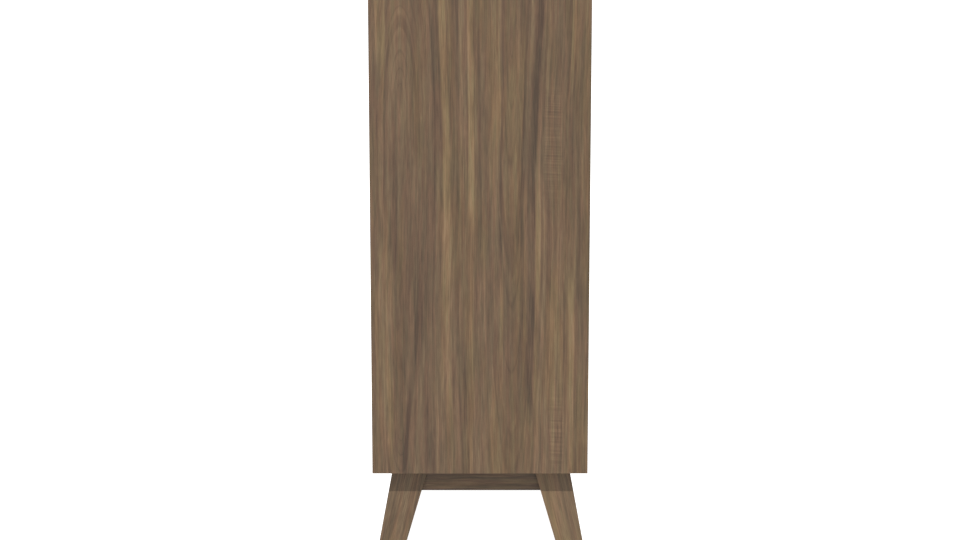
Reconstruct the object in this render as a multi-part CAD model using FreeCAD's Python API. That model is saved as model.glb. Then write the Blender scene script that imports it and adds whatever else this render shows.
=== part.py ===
"""Console television cabinet on splayed legs, built as an assembly of separate pieces.

Row frame, in millimetres: origin on the floor at the middle of the footprint, front faces -Y,
X runs along the width with the viewer's right at +X, and Z is up.
"""

import FreeCAD, Part
import math
import os

V = FreeCAD.Vector
Y_AXIS, Z_AXIS = V(0, 1, 0), V(0, 0, 1)

# Driving dimensions of the cabinet.
WIDTH = 780.0  # over the end panels
HEIGHT = 1150.0  # floor to top
FRONT, BACK = -202.0, 198.0  # front and rear edges of the end panels
LEG_HEIGHT = 195.0
BOARD = 19.0  # veneered board thickness
STORAGE_HEIGHT = 329.0  # clear height behind the doors, for record sleeves
SPEAKER_HEIGHT = 110.0
REBATE_DEPTH, REBATE_WIDTH = 10.0, 10.0  # rebate round the back for the rear covers
BACK_SHEET = 4.0
FIT = 0.5  # gap round a sheet or moulding that drops into an opening

HALF = WIDTH / 2
INSIDE = HALF - BOARD
STORAGE_FLOOR = LEG_HEIGHT + BOARD
STORAGE_TOP = STORAGE_FLOOR + STORAGE_HEIGHT
SPEAKER_FLOOR = STORAGE_TOP + BOARD
SPEAKER_TOP = SPEAKER_FLOOR + SPEAKER_HEIGHT
TV_FLOOR = SPEAKER_TOP + BOARD
TV_TOP = HEIGHT - BOARD
REBATE_FLOOR = BACK - REBATE_DEPTH
BACK_SPLIT = STORAGE_TOP + BOARD / 2  # where the two rear sheets meet

# Stand.
FOOT_OUT, FOOT_IN = 202.0, 157.0  # leg in the end view, at its foot, from the middle
LEG_TOP_OUT, LEG_TOP_IN = 166.3, 99.9  # the same at the cabinet's underside
LEG_TOP_X = (330.0, 360.0)  # leg in the front view, at the top
FOOT_X = (354.0, 380.0)  # and at its foot
GLIDE_THICKNESS, GLIDE_RADIUS = 3.0, 11.0
RAIL_HEIGHT = 42.0
END_RAIL_X = (330.0, 355.0)
LONG_RAIL_Y = (128.0, 150.0)
CORNER_BLOCK, CORNER_BLOCK_HEIGHT = 60.0, 34.0

# Screws.
PILOT_RADIUS = 1.7
HEAD_RADIUS, HEAD_HEIGHT = 3.6, 2.0
SCREW_INSET = 5.0  # outside the opening a rear sheet covers
SCREW_BITE = 14.0  # into the board

# Doors and their hinges.
DOOR_RECESS, DOOR_THICKNESS = 8.0, 18.0
DOOR_GAP = 2.5
HINGE_GAP = 2.6
KNUCKLE_RADIUS, PIN_RADIUS, LEAF_THICKNESS = 3.0, 1.5, 1.1
PIN_FORWARD = 3.4  # pin axis in front of the door's face
PIN_INSET = 3.4  # pin axis from the end panel's inside face
HINGE_LENGTH, LEAF_WIDTH, HINGE_INSET = 60.0, 19.4, 42.0
SUNK_HEAD, SUNK_RADIUS, SUNK_LENGTH = 2.8, 1.5, 13.0  # hinge screws
SUNK_LEVELS = (9.0, 30.0, 51.0)  # above a leaf's lower end
KNUCKLE_PLAY, PIN_PLAY = 0.3, 0.06
PULL_X, PULL_RADIUS, PULL_DEPTH, PULL_WALL = 30.0, 17.0, 11.0, 1.2
PULL_FLANGE_RADIUS, PULL_FLANGE = 20.5, 1.3
CATCH_X, CATCH_BALL, CATCH_SHOWS = 62.0, 4.0, 1.5
DOOR_FRONT = FRONT + DOOR_RECESS
DOOR_BACK = DOOR_FRONT + DOOR_THICKNESS
PIN_X = INSIDE - PIN_INSET
PIN_Y = DOOR_FRONT - PIN_FORWARD

# Speaker bay.
GRILLE_RECESS, GRILLE_DEPTH, GRILLE_EDGE = 6.0, 12.0, 11.0
SLAT_WIDTH, SLAT_COUNT = 5.0, 44
CLOTH = 0.8
BAFFLE_THICKNESS = 10.0
SPEAKER_X = 195.0
SPEAKER_OPENING = (74.0, 41.0)  # half width and half height of the oval opening
SPEAKER_FLANGE = (83.0, 50.0)
SPEAKER_DEPTH, MAGNET_RADIUS, MAGNET_DEPTH = 38.0, 31.0, 20.0

# Picture tube, whose axis runs along Y.
TUBE_X, TUBE_Z = -75.0, (TV_FLOOR + TV_TOP) / 2
TUBE_HALF = (257.5, 205.0)
TUBE_SQUARENESS = 6.0  # superellipse exponent of the screen's outline
TUBE_CROWN, TUBE_SEAM = FRONT + 30.0, -95.0
TUBE_RADIUS = 1100.0
TUBE_GLASS, TUBE_SKIRT = 10.0, 8.0
FUNNEL_SECTIONS = (  # y, half width, half height, exponent
    (TUBE_SEAM, 257.5, 205.0, 6.0),
    (-70.0, 238.0, 190.0, 5.0),
    (-30.0, 186.0, 152.0, 4.0),
    (10.0, 122.0, 108.0, 3.0),
    (50.0, 64.0, 64.0, 2.0),
)
FUNNEL_GLASS = 5.0
NECK_START, NECK_END = 96.0, 170.0
NECK_RADIUS, NECK_GLASS = 14.3, 1.5
SOCKET_RADIUS, SOCKET_END = 17.0, 184.0
BAND_THICKNESS = 2.0
BAND_FRONT, BAND_BACK = -118.0, -96.0
LUG_AT, LUG_SIZE, LUG_THICKNESS = (262.0, 207.0), 44.0, 3.0

# Screen mask.
MASK_X = (-INSIDE + FIT, 220.0)
MASK_FRONT, MASK_SKIRT_BACK, MASK_WALL = FRONT + 12.0, -168.0, 3.0
MASK_OPENING = (264.0, 208.0)  # half sizes at the front
SCREEN_HALF = (244.5, 192.5)  # half sizes where the mask meets the glass
MASK_COLLAR_BACK = -122.0
BOSS_RADIUS = 6.0

# Control column.
FASCIA_X = (MASK_X[1], INSIDE - FIT)
FASCIA_FRONT, FASCIA_PLATE, FASCIA_DEPTH = FRONT + 26.0, 3.0, 17.0
CONTROL_X = 296.0
CHANNEL_Z, UHF_Z, DIAL_Z, PICTURE_Z, VOLUME_Z, KEY_Z = 1056.0, 966.0, 914.0, 862.0, 798.0, 735.0
PICTURE_SPREAD, KEY_SPREAD = 31.0, 34.0
KNOB_FRONT = FRONT + 3.0
SHAFT_RADIUS, RUNNING = 3.0, 0.06
FASCIA_HOLE = 3.8
POT_RADIUS, POT_DEPTH, STUB_END = 11.5, 22.0, -160.0
SLEEVE_RADIUS = 5.2
TUNER_Y = (-152.0, -58.0)
KEY_SIZE, KEY_PROUD, KEY_STEM = (28.0, 15.0), 9.0, 3.0  # keys travel 4 mm
KEY_BLOCK = (-162.0, -144.0)

# Dial.
DIAL_WINDOW = (50.0, 10.0)  # half sizes
DIAL_PLATE_HALF, DIAL_PLATE_BACK, DIAL_PLATE = (57.0, 13.0), -164.0, 1.5
GUIDE_Y, GUIDE_DROP, GUIDE_RADIUS = -168.5, 17.0, 1.2
CARRIAGE = (9.0, 6.0, 7.0)

# Chassis.
TRAY_X, TRAY_Y, TRAY_HEIGHT, SHEET_METAL = (-345.0, 165.0), (14.0, 172.0), 38.0, 1.5
VALVE_SPOTS = ((-205, 60), (-160, 120), (-120, 56), (-70, 118), (-30, 60), (20, 112), (60, 58), (110, 110))
VALVE_RADIUS, VALVE_HEIGHT = 10.5, 44.0
CAGE_X, CAGE_Y, CAGE_HEIGHT = (-340.0, -250.0), (30.0, 118.0), 92.0
TERMINAL_X, TERMINAL_Z, TERMINAL_Y = (30.0, 160.0), (TV_FLOOR + 6.0, TV_FLOOR + 44.0), 183.0
INLET_HALF = (18.0, 11.0)  # mains inlet, half width and half height
TRANSFORMER_CENTRE = (250.0, 100.0)


def box(x0, x1, y0, y1, z0, z1):
    return Part.makeBox(x1 - x0, y1 - y0, z1 - z0, V(x0, y0, z0))


def rod(radius, start, end):
    """Solid cylinder between two points."""
    line = end - start
    return Part.makeCylinder(radius, line.Length, start, line)


def along_y(radius, x, z, y0, y1):
    return rod(radius, V(x, y0, z), V(x, y1, z))


def prism(points, direction):
    """Straight prism on a closed outline of points."""
    return Part.Face(Part.makePolygon(points + points[:1])).extrude(direction)


def frustum(low, high):
    """Solid with flat sides between two level four-sided outlines."""
    faces = [Part.Face(Part.makePolygon(ring + ring[:1])) for ring in (low, high)]
    for i in range(4):
        j = (i + 1) % 4
        side = [low[i], low[j], high[j], high[i], low[i]]
        faces.append(Part.Face(Part.makePolygon(side)))
    return Part.Solid(Part.Shell(faces))


def level_rectangle(x, y, z):
    return [V(x[0], y[0], z), V(x[1], y[0], z), V(x[1], y[1], z), V(x[0], y[1], z)]


def oval_wire(x, z, half_width, half_height, exponent, y, points=32):
    """Closed smooth superellipse in an XZ plane; exponent 2 is an ellipse."""
    ring = []
    for i in range(points):
        turn = 2 * math.pi * (i + 0.5) / points
        c, s = math.cos(turn), math.sin(turn)
        reach = (abs(c) ** exponent + abs(s) ** exponent) ** (-1 / exponent)
        ring.append(V(x + half_width * reach * c, y, z + half_height * reach * s))
    curve = Part.BSplineCurve()
    curve.interpolate(Points=ring, PeriodicFlag=True)
    return Part.Wire(curve.toShape())


def oval_prism(x, z, half, exponent, y0, y1):
    wire = oval_wire(x, z, half[0], half[1], exponent, y0)
    return Part.Face(wire).extrude(V(0, y1 - y0, 0))


def oval_loft(x, z, sections):
    """Solid through superellipse sections, each (y, half width, half height, exponent)."""
    wires = [oval_wire(x, z, w, h, n, y) for y, w, h, n in sections]
    return Part.makeLoft(wires, True)


def turned(x, z, profile):
    """Solid of revolution about a line along Y; profile points are (radius, y)."""
    points = [V(x + r, y, z) for r, y in profile]
    face = Part.Face(Part.makePolygon(points + points[:1]))
    return face.revolve(V(x, 0, z), Y_AXIS, 360)


def joined(shapes):
    return shapes[0].fuse(shapes[1:]).removeSplitter()


def group(shapes):
    return Part.makeCompound(shapes)


def grow(half, by):
    return (half[0] + by, half[1] + by)


# Cabinet case.


def rear_screw_spots():
    """(x, z) of the screws in the upper and the lower rear sheet."""
    side = INSIDE + SCREW_INSET
    spots = [(sx * side, z) for sx in (-1, 1) for z in (STORAGE_FLOOR + 40, STORAGE_TOP - 40)]
    spots += [(sx * side, z) for sx in (-1, 1) for z in ((SPEAKER_TOP + TV_TOP) / 2, TV_TOP - 40)]
    spots += [(x, z) for x in (-250.0, 250.0) for z in (STORAGE_FLOOR - SCREW_INSET, TV_TOP + SCREW_INSET)]
    spots += [(x, BACK_SPLIT + s * SCREW_INSET) for x in (-300.0, 300.0) for s in (-1, 1)]
    spots += [(x, SPEAKER_TOP + BOARD / 2) for x in (-300.0, 0.0, 300.0)]
    return spots


def drilled(shape, depth_to):
    """Shape with the rear screws' pilot holes, drilled from the back."""
    for x, z in rear_screw_spots():
        shape = shape.cut(along_y(PILOT_RADIUS, x, z, depth_to, BACK + 1))
    return shape


def rebate_cut():
    return box(-INSIDE - REBATE_WIDTH, INSIDE + REBATE_WIDTH, REBATE_FLOOR, BACK + 1,
               STORAGE_FLOOR - REBATE_WIDTH, TV_TOP + REBATE_WIDTH)


def cased(points):
    """Mitred case board on an XZ outline, rebated and drilled at the back."""
    board = prism([V(x, FRONT, z) for x, z in points], V(0, BACK - FRONT, 0))
    return drilled(board.cut(rebate_cut()), REBATE_FLOOR - SCREW_BITE)


def end_panel(side):
    outline = [(HALF, LEG_HEIGHT), (HALF, HEIGHT), (INSIDE, TV_TOP), (INSIDE, STORAGE_FLOOR)]
    return cased([(side * x, z) for x, z in outline]).cut(sunk_screws(side, INSIDE, 1))


def top_panel():
    return cased([(-HALF, HEIGHT), (HALF, HEIGHT), (INSIDE, TV_TOP), (-INSIDE, TV_TOP)])


def bottom_panel():
    board = cased([(-HALF, LEG_HEIGHT), (HALF, LEG_HEIGHT), (INSIDE, STORAGE_FLOOR),
                   (-INSIDE, STORAGE_FLOOR)])
    for x, y in block_screws():
        board = board.cut(rod(PILOT_RADIUS, V(x, y, LEG_HEIGHT - 1), V(x, y, LEG_HEIGHT + 12)))
    return board


def shelf(z):
    board = box(-INSIDE, INSIDE, FRONT, REBATE_FLOOR, z, z + BOARD)
    return drilled(board, REBATE_FLOOR - SCREW_BITE)


def front_screws():
    """(x, y) of the screws that hold the mask and the fascia down on the shelf."""
    mask = [(x, MASK_FRONT + 12) for x in (-320.0, -75.0, 170.0)]
    return mask + [(x, FASCIA_FRONT + 10) for x in (245.0, 347.0)]


def tv_shelf():
    board = shelf(SPEAKER_TOP)
    for x, y in front_screws():
        board = board.cut(rod(PILOT_RADIUS, V(x, y, TV_FLOOR - 12), V(x, y, TV_FLOOR + 1)))
    return board


def storage_shelf():
    board = shelf(STORAGE_TOP)
    for side in (-1, 1):
        board = board.cut(ball_catch(side))
    return board


def back_sheet(z0, z1):
    reach = INSIDE + REBATE_WIDTH - FIT
    sheet = box(-reach, reach, REBATE_FLOOR, REBATE_FLOOR + BACK_SHEET, z0, z1)
    return drilled(sheet, REBATE_FLOOR - 1)


def slot(x, z, width, height):
    """Upright round-ended cutter through the rear sheet."""
    radius = width / 2
    y0, y1 = REBATE_FLOOR - 1, REBATE_FLOOR + BACK_SHEET + 1
    ends = [along_y(radius, x, z + s * (height / 2 - radius), y0, y1) for s in (-1, 1)]
    middle = box(x - radius, x + radius, y0, y1, z - height / 2 + radius, z + height / 2 - radius)
    return joined([middle] + ends)


def rear_cover():
    sheet = back_sheet(BACK_SPLIT + FIT, TV_TOP + REBATE_WIDTH - FIT)
    slot_width, slot_height, pitch = 6.0, 44.0, 24.0
    slots = []
    for row in (TV_TOP - 60, TV_TOP - 120, TV_FLOOR + 84):
        slots += [slot((i - 12) * pitch, row, slot_width, slot_height) for i in range(25)]
    for side in (-1, 1):
        speaker_row = (SPEAKER_FLOOR + SPEAKER_TOP) / 2
        slots += [slot(side * SPEAKER_X + (i - 3) * pitch, speaker_row, slot_width, slot_height)
                  for i in range(7)]
    window = box(TERMINAL_X[0] + 4, TERMINAL_X[1] - 4, REBATE_FLOOR - 1, BACK,
                 TERMINAL_Z[0] + 4, TERMINAL_Z[1] - 4)
    return sheet.cut(slots + [window])


def storage_back():
    return back_sheet(STORAGE_FLOOR - REBATE_WIDTH + FIT, BACK_SPLIT - FIT)


# Stand.


def leg(side_x, side_y):
    """Tapered leg that leans outwards in both views."""
    def rectangle(x, y, z):
        return level_rectangle([side_x * v for v in x], [side_y * v for v in y], z)

    foot = rectangle(FOOT_X, (FOOT_IN, FOOT_OUT), GLIDE_THICKNESS)
    return frustum(foot, rectangle(LEG_TOP_X, (LEG_TOP_IN, LEG_TOP_OUT), LEG_HEIGHT))


def leg_inner(top, foot, z):
    """Where a leg's inner side is at a height."""
    return foot + (top - foot) * (z - GLIDE_THICKNESS) / (LEG_HEIGHT - GLIDE_THICKNESS)


def end_rail(side):
    low = LEG_HEIGHT - RAIL_HEIGHT
    reach = leg_inner(LEG_TOP_IN, FOOT_IN, low)
    outline = [(-reach, low), (reach, low), (LEG_TOP_IN, LEG_HEIGHT), (-LEG_TOP_IN, LEG_HEIGHT)]
    inner, outer = END_RAIL_X
    return prism([V(side * inner, y, z) for y, z in outline], V(side * (outer - inner), 0, 0))


def long_rail(side):
    low = LEG_HEIGHT - RAIL_HEIGHT
    top = LEG_TOP_X[0]
    reach = leg_inner(top, FOOT_X[0], low)
    outline = [(-reach, low), (reach, low), (top, LEG_HEIGHT), (-top, LEG_HEIGHT)]
    inner, outer = LONG_RAIL_Y
    return prism([V(x, side * inner, z) for x, z in outline], V(0, side * (outer - inner), 0))


def block_screws():
    inset = CORNER_BLOCK * 0.32
    x, y = END_RAIL_X[0] - inset, LONG_RAIL_Y[0] - inset
    return [(sx * x, sy * y) for sx in (-1, 1) for sy in (-1, 1)]


def corner_blocks():
    low = LEG_HEIGHT - CORNER_BLOCK_HEIGHT
    blocks = []
    for side_x in (-1, 1):
        for side_y in (-1, 1):
            x, y = side_x * END_RAIL_X[0], side_y * LONG_RAIL_Y[0]
            corners = [V(x, y, low), V(x - side_x * CORNER_BLOCK, y, low),
                       V(x, y - side_y * CORNER_BLOCK, low)]
            block = prism(corners, V(0, 0, CORNER_BLOCK_HEIGHT))
            for sx, sy in block_screws():
                block = block.cut(rod(PILOT_RADIUS, V(sx, sy, low - 1), V(sx, sy, LEG_HEIGHT + 1)))
            blocks.append(block)
    return group(blocks)


def foot_glides():
    x = (FOOT_X[0] + FOOT_X[1]) / 2
    y = (FOOT_IN + FOOT_OUT) / 2
    glides = []
    for side_x in (-1, 1):
        for side_y in (-1, 1):
            base = V(side_x * x, side_y * y, 0)
            glide = Part.makeCylinder(GLIDE_RADIUS, GLIDE_THICKNESS, base)
            glides.append(glide.makeChamfer(0.8, [glide.Edges[2]]))
    return group(glides)


def screw(head_at, direction, length):
    """Pan-head screw; head_at is the middle of the head's underside."""
    away = V(direction)
    away.normalize()
    head = Part.makeCylinder(HEAD_RADIUS, HEAD_HEIGHT, head_at, away * -1)
    rim = [e for e in head.Edges if e.Closed and abs((e.CenterOfMass - head_at).Length - HEAD_HEIGHT) < 0.01]
    head = head.makeFillet(HEAD_HEIGHT * 0.6, rim)
    return head.fuse(Part.makeCylinder(PILOT_RADIUS, length, head_at, away))


def fixing_screws():
    sheet_face = REBATE_FLOOR + BACK_SHEET
    screws = [screw(V(x, sheet_face, z), V(0, -1, 0), BACK_SHEET + SCREW_BITE)
              for x, z in rear_screw_spots()]
    block_low = LEG_HEIGHT - CORNER_BLOCK_HEIGHT
    screws += [screw(V(x, y, block_low), Z_AXIS, CORNER_BLOCK_HEIGHT + 12) for x, y in block_screws()]
    lug_back = BAND_FRONT + LUG_THICKNESS
    screws += [screw(V(x, lug_back, z), V(0, -1, 0), LUG_THICKNESS + 16) for x, z in lug_spots()]
    screws += [screw(V(x, y, TV_FLOOR + MASK_WALL), V(0, 0, -1), MASK_WALL + 12) for x, y in front_screws()]
    for side in (-1, 1):
        screws += slotted(sunk_screws(side, INSIDE, 1))
    return group(screws)


# Doors.


def door(side):
    """Inset door, bored for its cup pull."""
    inner, outer = DOOR_GAP / 2, INSIDE - HINGE_GAP
    edges = sorted((side * inner, side * outer))
    panel = box(edges[0], edges[1], DOOR_FRONT, DOOR_BACK, STORAGE_FLOOR + DOOR_GAP, STORAGE_TOP - DOOR_GAP)
    bore = along_y(PULL_RADIUS, side * PULL_X, pull_height(), DOOR_FRONT - 1, DOOR_FRONT + PULL_DEPTH)
    return panel.cut([bore] + sunk_screws(side, outer, -1))


def pull_height():
    return (STORAGE_FLOOR + STORAGE_TOP) / 2


def door_pull(side):
    """Recessed finger cup with a flat rim."""
    face, floor = DOOR_FRONT - PULL_FLANGE, DOOR_FRONT + PULL_DEPTH
    inner = PULL_RADIUS - PULL_WALL
    profile = [(0, floor), (PULL_RADIUS, floor), (PULL_RADIUS, DOOR_FRONT),
               (PULL_FLANGE_RADIUS, DOOR_FRONT), (PULL_FLANGE_RADIUS, face + 0.5),
               (PULL_FLANGE_RADIUS - 0.5, face), (inner + 0.4, face), (inner, face + 0.4),
               (inner, floor - PULL_WALL - 3), (inner - 3, floor - PULL_WALL), (0, floor - PULL_WALL)]
    return turned(side * PULL_X, pull_height(), profile)


def hinge_levels():
    return [STORAGE_FLOOR + HINGE_INSET, STORAGE_TOP - HINGE_INSET - HINGE_LENGTH]


def sunk_screws(side, board, way):
    """Countersunk screws of one side's hinges, without slots.

    board is the X of the face that the leaf lies on, and way is 1 where the screws point outwards.
    """
    screws = []
    for low in hinge_levels():
        for level in SUNK_LEVELS:
            head_at = V(side * (board - way * LEAF_THICKNESS), (DOOR_FRONT + DOOR_BACK) / 2, low + level)
            into = V(side * way, 0, 0)
            head = Part.makeCone(SUNK_HEAD, SUNK_RADIUS, LEAF_THICKNESS, head_at, into)
            screws.append(joined([head, Part.makeCylinder(SUNK_RADIUS, SUNK_LENGTH, head_at, into)]))
    return screws


def slotted(screws):
    """The same screws with a driver slot across each head."""
    depth, width = 0.5, 0.8
    cut = []
    for shape in screws:
        head = max((e for e in shape.Edges if e.Closed), key=lambda e: e.Length).CenterOfMass
        cut.append(shape.cut(box(head.x - depth, head.x + depth, head.y - width / 2, head.y + width / 2,
                                 head.z - SUNK_HEAD, head.z + SUNK_HEAD)))
    return cut


def hinge_screws(side):
    """Screws that hold one door's own leaves."""
    return group(slotted(sunk_screws(side, INSIDE - HINGE_GAP, -1)))


def knuckle(side, z0, z1, bore):
    """One barrel of a hinge with its pin hole."""
    barrel = Part.makeCylinder(KNUCKLE_RADIUS, z1 - z0, V(side * PIN_X, PIN_Y, z0))
    return barrel.cut(Part.makeCylinder(bore, z1 - z0 + 2, V(side * PIN_X, PIN_Y, z0 - 1)))


def hinge_leaf(side, low, levels, face, bore):
    """Flat leaf with the barrels at the given heights; face is the leaf's outer X."""
    near, far = sorted((side * face, side * (face - LEAF_THICKNESS)))
    plate = box(near, far, PIN_Y, PIN_Y + LEAF_WIDTH, low, low + HINGE_LENGTH)
    third = HINGE_LENGTH / 3
    gaps = [i for i in range(3) if i not in levels]
    for i in gaps:
        z = low + i * third
        plate = plate.cut(box(near - 1, far + 1, PIN_Y - 1, PIN_Y + KNUCKLE_RADIUS + KNUCKLE_PLAY,
                              z - KNUCKLE_PLAY, z + third + KNUCKLE_PLAY))
    pin_x = side * PIN_X
    plate = plate.cut(rod(bore, V(pin_x, PIN_Y, low - 1), V(pin_x, PIN_Y, low + HINGE_LENGTH + 1)))
    barrels = []
    for i in levels:
        ends = [low + i * third, low + (i + 1) * third]
        if i == 1:
            ends = [ends[0] + KNUCKLE_PLAY, ends[1] - KNUCKLE_PLAY]
        barrels.append(knuckle(side, ends[0], ends[1], bore))
    return joined([plate] + barrels)


def hinge_frame_leaves():
    return group([hinge_leaf(side, low, (0, 2), INSIDE, PIN_RADIUS).cut(sunk_screws(side, INSIDE, 1))
                  for side in (-1, 1) for low in hinge_levels()])


def hinge_door_leaves(side):
    board = INSIDE - HINGE_GAP
    screws = sunk_screws(side, board, -1)
    return group([hinge_leaf(side, low, (1,), board + LEAF_THICKNESS, PIN_RADIUS + PIN_PLAY).cut(screws)
                  for low in hinge_levels()])


def hinge_pins():
    """Pins with a small button at each end."""
    pins = []
    for side in (-1, 1):
        for low in hinge_levels():
            base = V(side * PIN_X, PIN_Y, low)
            pin = Part.makeCylinder(PIN_RADIUS, HINGE_LENGTH, base)
            foot = Part.makeCylinder(KNUCKLE_RADIUS * 0.85, 1.6, base - Z_AXIS * 1.6)
            head = Part.makeCylinder(KNUCKLE_RADIUS * 0.85, 1.6, base + Z_AXIS * HINGE_LENGTH)
            pins.append(joined([pin, foot, head]))
    return group(pins)


def ball_catch(side):
    """Catch barrel in the shelf with its ball showing below."""
    x, y = side * CATCH_X, (DOOR_FRONT + DOOR_BACK) / 2
    barrel = rod(CATCH_BALL + 0.8, V(x, y, STORAGE_TOP), V(x, y, STORAGE_TOP + 11))
    ball = Part.makeSphere(CATCH_BALL, V(x, y, STORAGE_TOP + CATCH_BALL - CATCH_SHOWS))
    return joined([barrel, ball])


def ball_catches():
    return group([ball_catch(side) for side in (-1, 1)])


# Speaker bay.


def speaker_z():
    return (SPEAKER_FLOOR + SPEAKER_TOP) / 2


def grille_slats():
    """Frame with upright slats in front of the cloth."""
    y0 = FRONT + GRILLE_RECESS
    y1 = y0 + GRILLE_DEPTH
    reach = INSIDE - FIT
    low, high = SPEAKER_FLOOR, SPEAKER_TOP - FIT
    frame = box(-reach, reach, y0, y1, low, high)
    inside = reach - GRILLE_EDGE
    frame = frame.cut(box(-inside, inside, y0 - 1, y1 + 1, low + GRILLE_EDGE, high - GRILLE_EDGE))
    pitch = 2 * inside / (SLAT_COUNT + 1)
    slats = []
    for i in range(SLAT_COUNT):
        x = -inside + (i + 1) * pitch - SLAT_WIDTH / 2
        slats.append(box(x, x + SLAT_WIDTH, y0 + 2, y1, low + GRILLE_EDGE, high - GRILLE_EDGE))
    return joined([frame] + slats)


def cloth_front():
    return FRONT + GRILLE_RECESS + GRILLE_DEPTH


def grille_cloth():
    reach = INSIDE - FIT
    y = cloth_front()
    return box(-reach, reach, y, y + CLOTH, SPEAKER_FLOOR, SPEAKER_TOP - FIT)


def baffle_front():
    return cloth_front() + CLOTH


def speaker_baffle():
    y0 = baffle_front()
    y1 = y0 + BAFFLE_THICKNESS
    board = box(-INSIDE, INSIDE, y0, y1, SPEAKER_FLOOR, SPEAKER_TOP)
    for side in (-1, 1):
        board = board.cut(oval_prism(side * SPEAKER_X, speaker_z(), SPEAKER_OPENING, 2, y0 - 1, y1 + 1))
    return board


def speaker_frames():
    """Pressed baskets with their magnets."""
    y0 = baffle_front() + BAFFLE_THICKNESS
    steel = 1.5
    frames = []
    for side in (-1, 1):
        x, z = side * SPEAKER_X, speaker_z()
        w, h = SPEAKER_OPENING
        y1 = y0 + SPEAKER_DEPTH
        outer = oval_loft(x, z, ((y0, w + 4.5, h + 4.5, 2), (y1, 34, 34, 2)))
        inner = oval_loft(x, z, ((y0 - 1, w + 4, h + 4, 2), (y1 - steel, 33, 33, 2)))
        windows = [box(x - 34, x + 34, y0 + 10, y1 - 8, z + turn * 60 - 50, z + turn * 60 + 50)
                   for turn in (-1, 1)]
        flange = oval_prism(x, z, SPEAKER_FLANGE, 2, y0, y0 + steel)
        seat = oval_prism(x, z, grow(SPEAKER_OPENING, 1.5), 2, y0 - 1, y0 + steel + 0.5)
        magnet = along_y(MAGNET_RADIUS + 6, x, z, y1 - steel / 2, y1 + 3).fuse(
            along_y(MAGNET_RADIUS, x, z, y1 + 2, y1 + 3 + MAGNET_DEPTH))
        frames.append(outer.fuse(flange).cut([inner, seat] + windows).fuse(magnet))
    return group(frames)


def speaker_cones():
    """Paper cones with their surrounds, dust caps and voice coils."""
    y0 = baffle_front() + BAFFLE_THICKNESS
    paper, depth, coil = 1.0, 26.0, 15.0
    w, h = grow(SPEAKER_OPENING, -3)
    cones = []
    for side in (-1, 1):
        x, z = side * SPEAKER_X, speaker_z()
        outer = oval_loft(x, z, ((y0, w, h, 2), (y0 + depth, coil + paper, coil + paper, 2)))
        inner = oval_loft(x, z, ((y0 - 1, w - paper, h - paper, 2), (y0 + depth + 1, coil, coil, 2)))
        surround = oval_prism(x, z, grow(SPEAKER_OPENING, 1.5), 2, y0, y0 + paper)
        turns = (0, 0.5, 1, math.pi / 2)
        dome = [(coil * math.sin(turn), y0 + depth - 6 * math.cos(turn)) for turn in turns]
        bobbin = turned(x, z, dome + [(coil, y0 + depth + 8), (0, y0 + depth + 8)])
        cones.append(joined([outer, surround]).cut(inner).Solids[0])
        cones.append(bobbin)
    return group(cones)


# Picture tube.


def tube_ball(radius_change):
    return Part.makeSphere(TUBE_RADIUS + radius_change, V(TUBE_X, TUBE_CROWN + TUBE_RADIUS, TUBE_Z))


def tube_faceplate():
    """Curved screen glass with a short skirt."""
    front = TUBE_CROWN - 1
    outer = oval_prism(TUBE_X, TUBE_Z, TUBE_HALF, TUBE_SQUARENESS, front, TUBE_SEAM)
    inner = oval_prism(TUBE_X, TUBE_Z, grow(TUBE_HALF, -TUBE_SKIRT), TUBE_SQUARENESS, front, TUBE_SEAM + 1)
    return outer.common(tube_ball(0)).cut(inner.common(tube_ball(-TUBE_GLASS)))


def tube_funnel():
    """Glass cone and neck behind the faceplate."""
    thin = [(y, w - FUNNEL_GLASS, h - FUNNEL_GLASS, n) for y, w, h, n in FUNNEL_SECTIONS]
    inner = oval_loft(TUBE_X, TUBE_Z, thin)
    y, radius = FUNNEL_SECTIONS[-1][0], FUNNEL_SECTIONS[-1][1]
    bore = NECK_RADIUS - NECK_GLASS
    neck = turned(TUBE_X, TUBE_Z, [(radius - FUNNEL_GLASS, y), (radius, y), (NECK_RADIUS, NECK_START),
                                   (NECK_RADIUS, NECK_END), (0, NECK_END), (0, NECK_END - 2),
                                   (bore, NECK_END - 2), (bore, NECK_START - 2)])
    return group([funnel_outside().cut(inner).Solids[0], neck])


def lug_spots():
    return [(TUBE_X + sx * LUG_AT[0], TUBE_Z + sz * LUG_AT[1]) for sx in (-1, 1) for sz in (-1, 1)]


def tube_band():
    """Steel band round the faceplate with four fixing lugs."""
    inner = oval_prism(TUBE_X, TUBE_Z, TUBE_HALF, TUBE_SQUARENESS, BAND_FRONT - 1, BAND_BACK + 1)
    outer = grow(TUBE_HALF, BAND_THICKNESS)
    pieces = [oval_prism(TUBE_X, TUBE_Z, outer, TUBE_SQUARENESS, BAND_FRONT, BAND_BACK)]
    half = LUG_SIZE / 2
    for x, z in lug_spots():
        mid_x = x + math.copysign(12, TUBE_X - x)
        mid_z = z + math.copysign(12, TUBE_Z - z)
        pieces.append(box(mid_x - half, mid_x + half, BAND_FRONT, BAND_FRONT + LUG_THICKNESS,
                          mid_z - half, mid_z + half))
    band = joined(pieces).cut(inner)
    for x, z in lug_spots():
        band = band.cut(along_y(PILOT_RADIUS, x, z, BAND_FRONT - 1, BAND_BACK))
    return band


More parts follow.
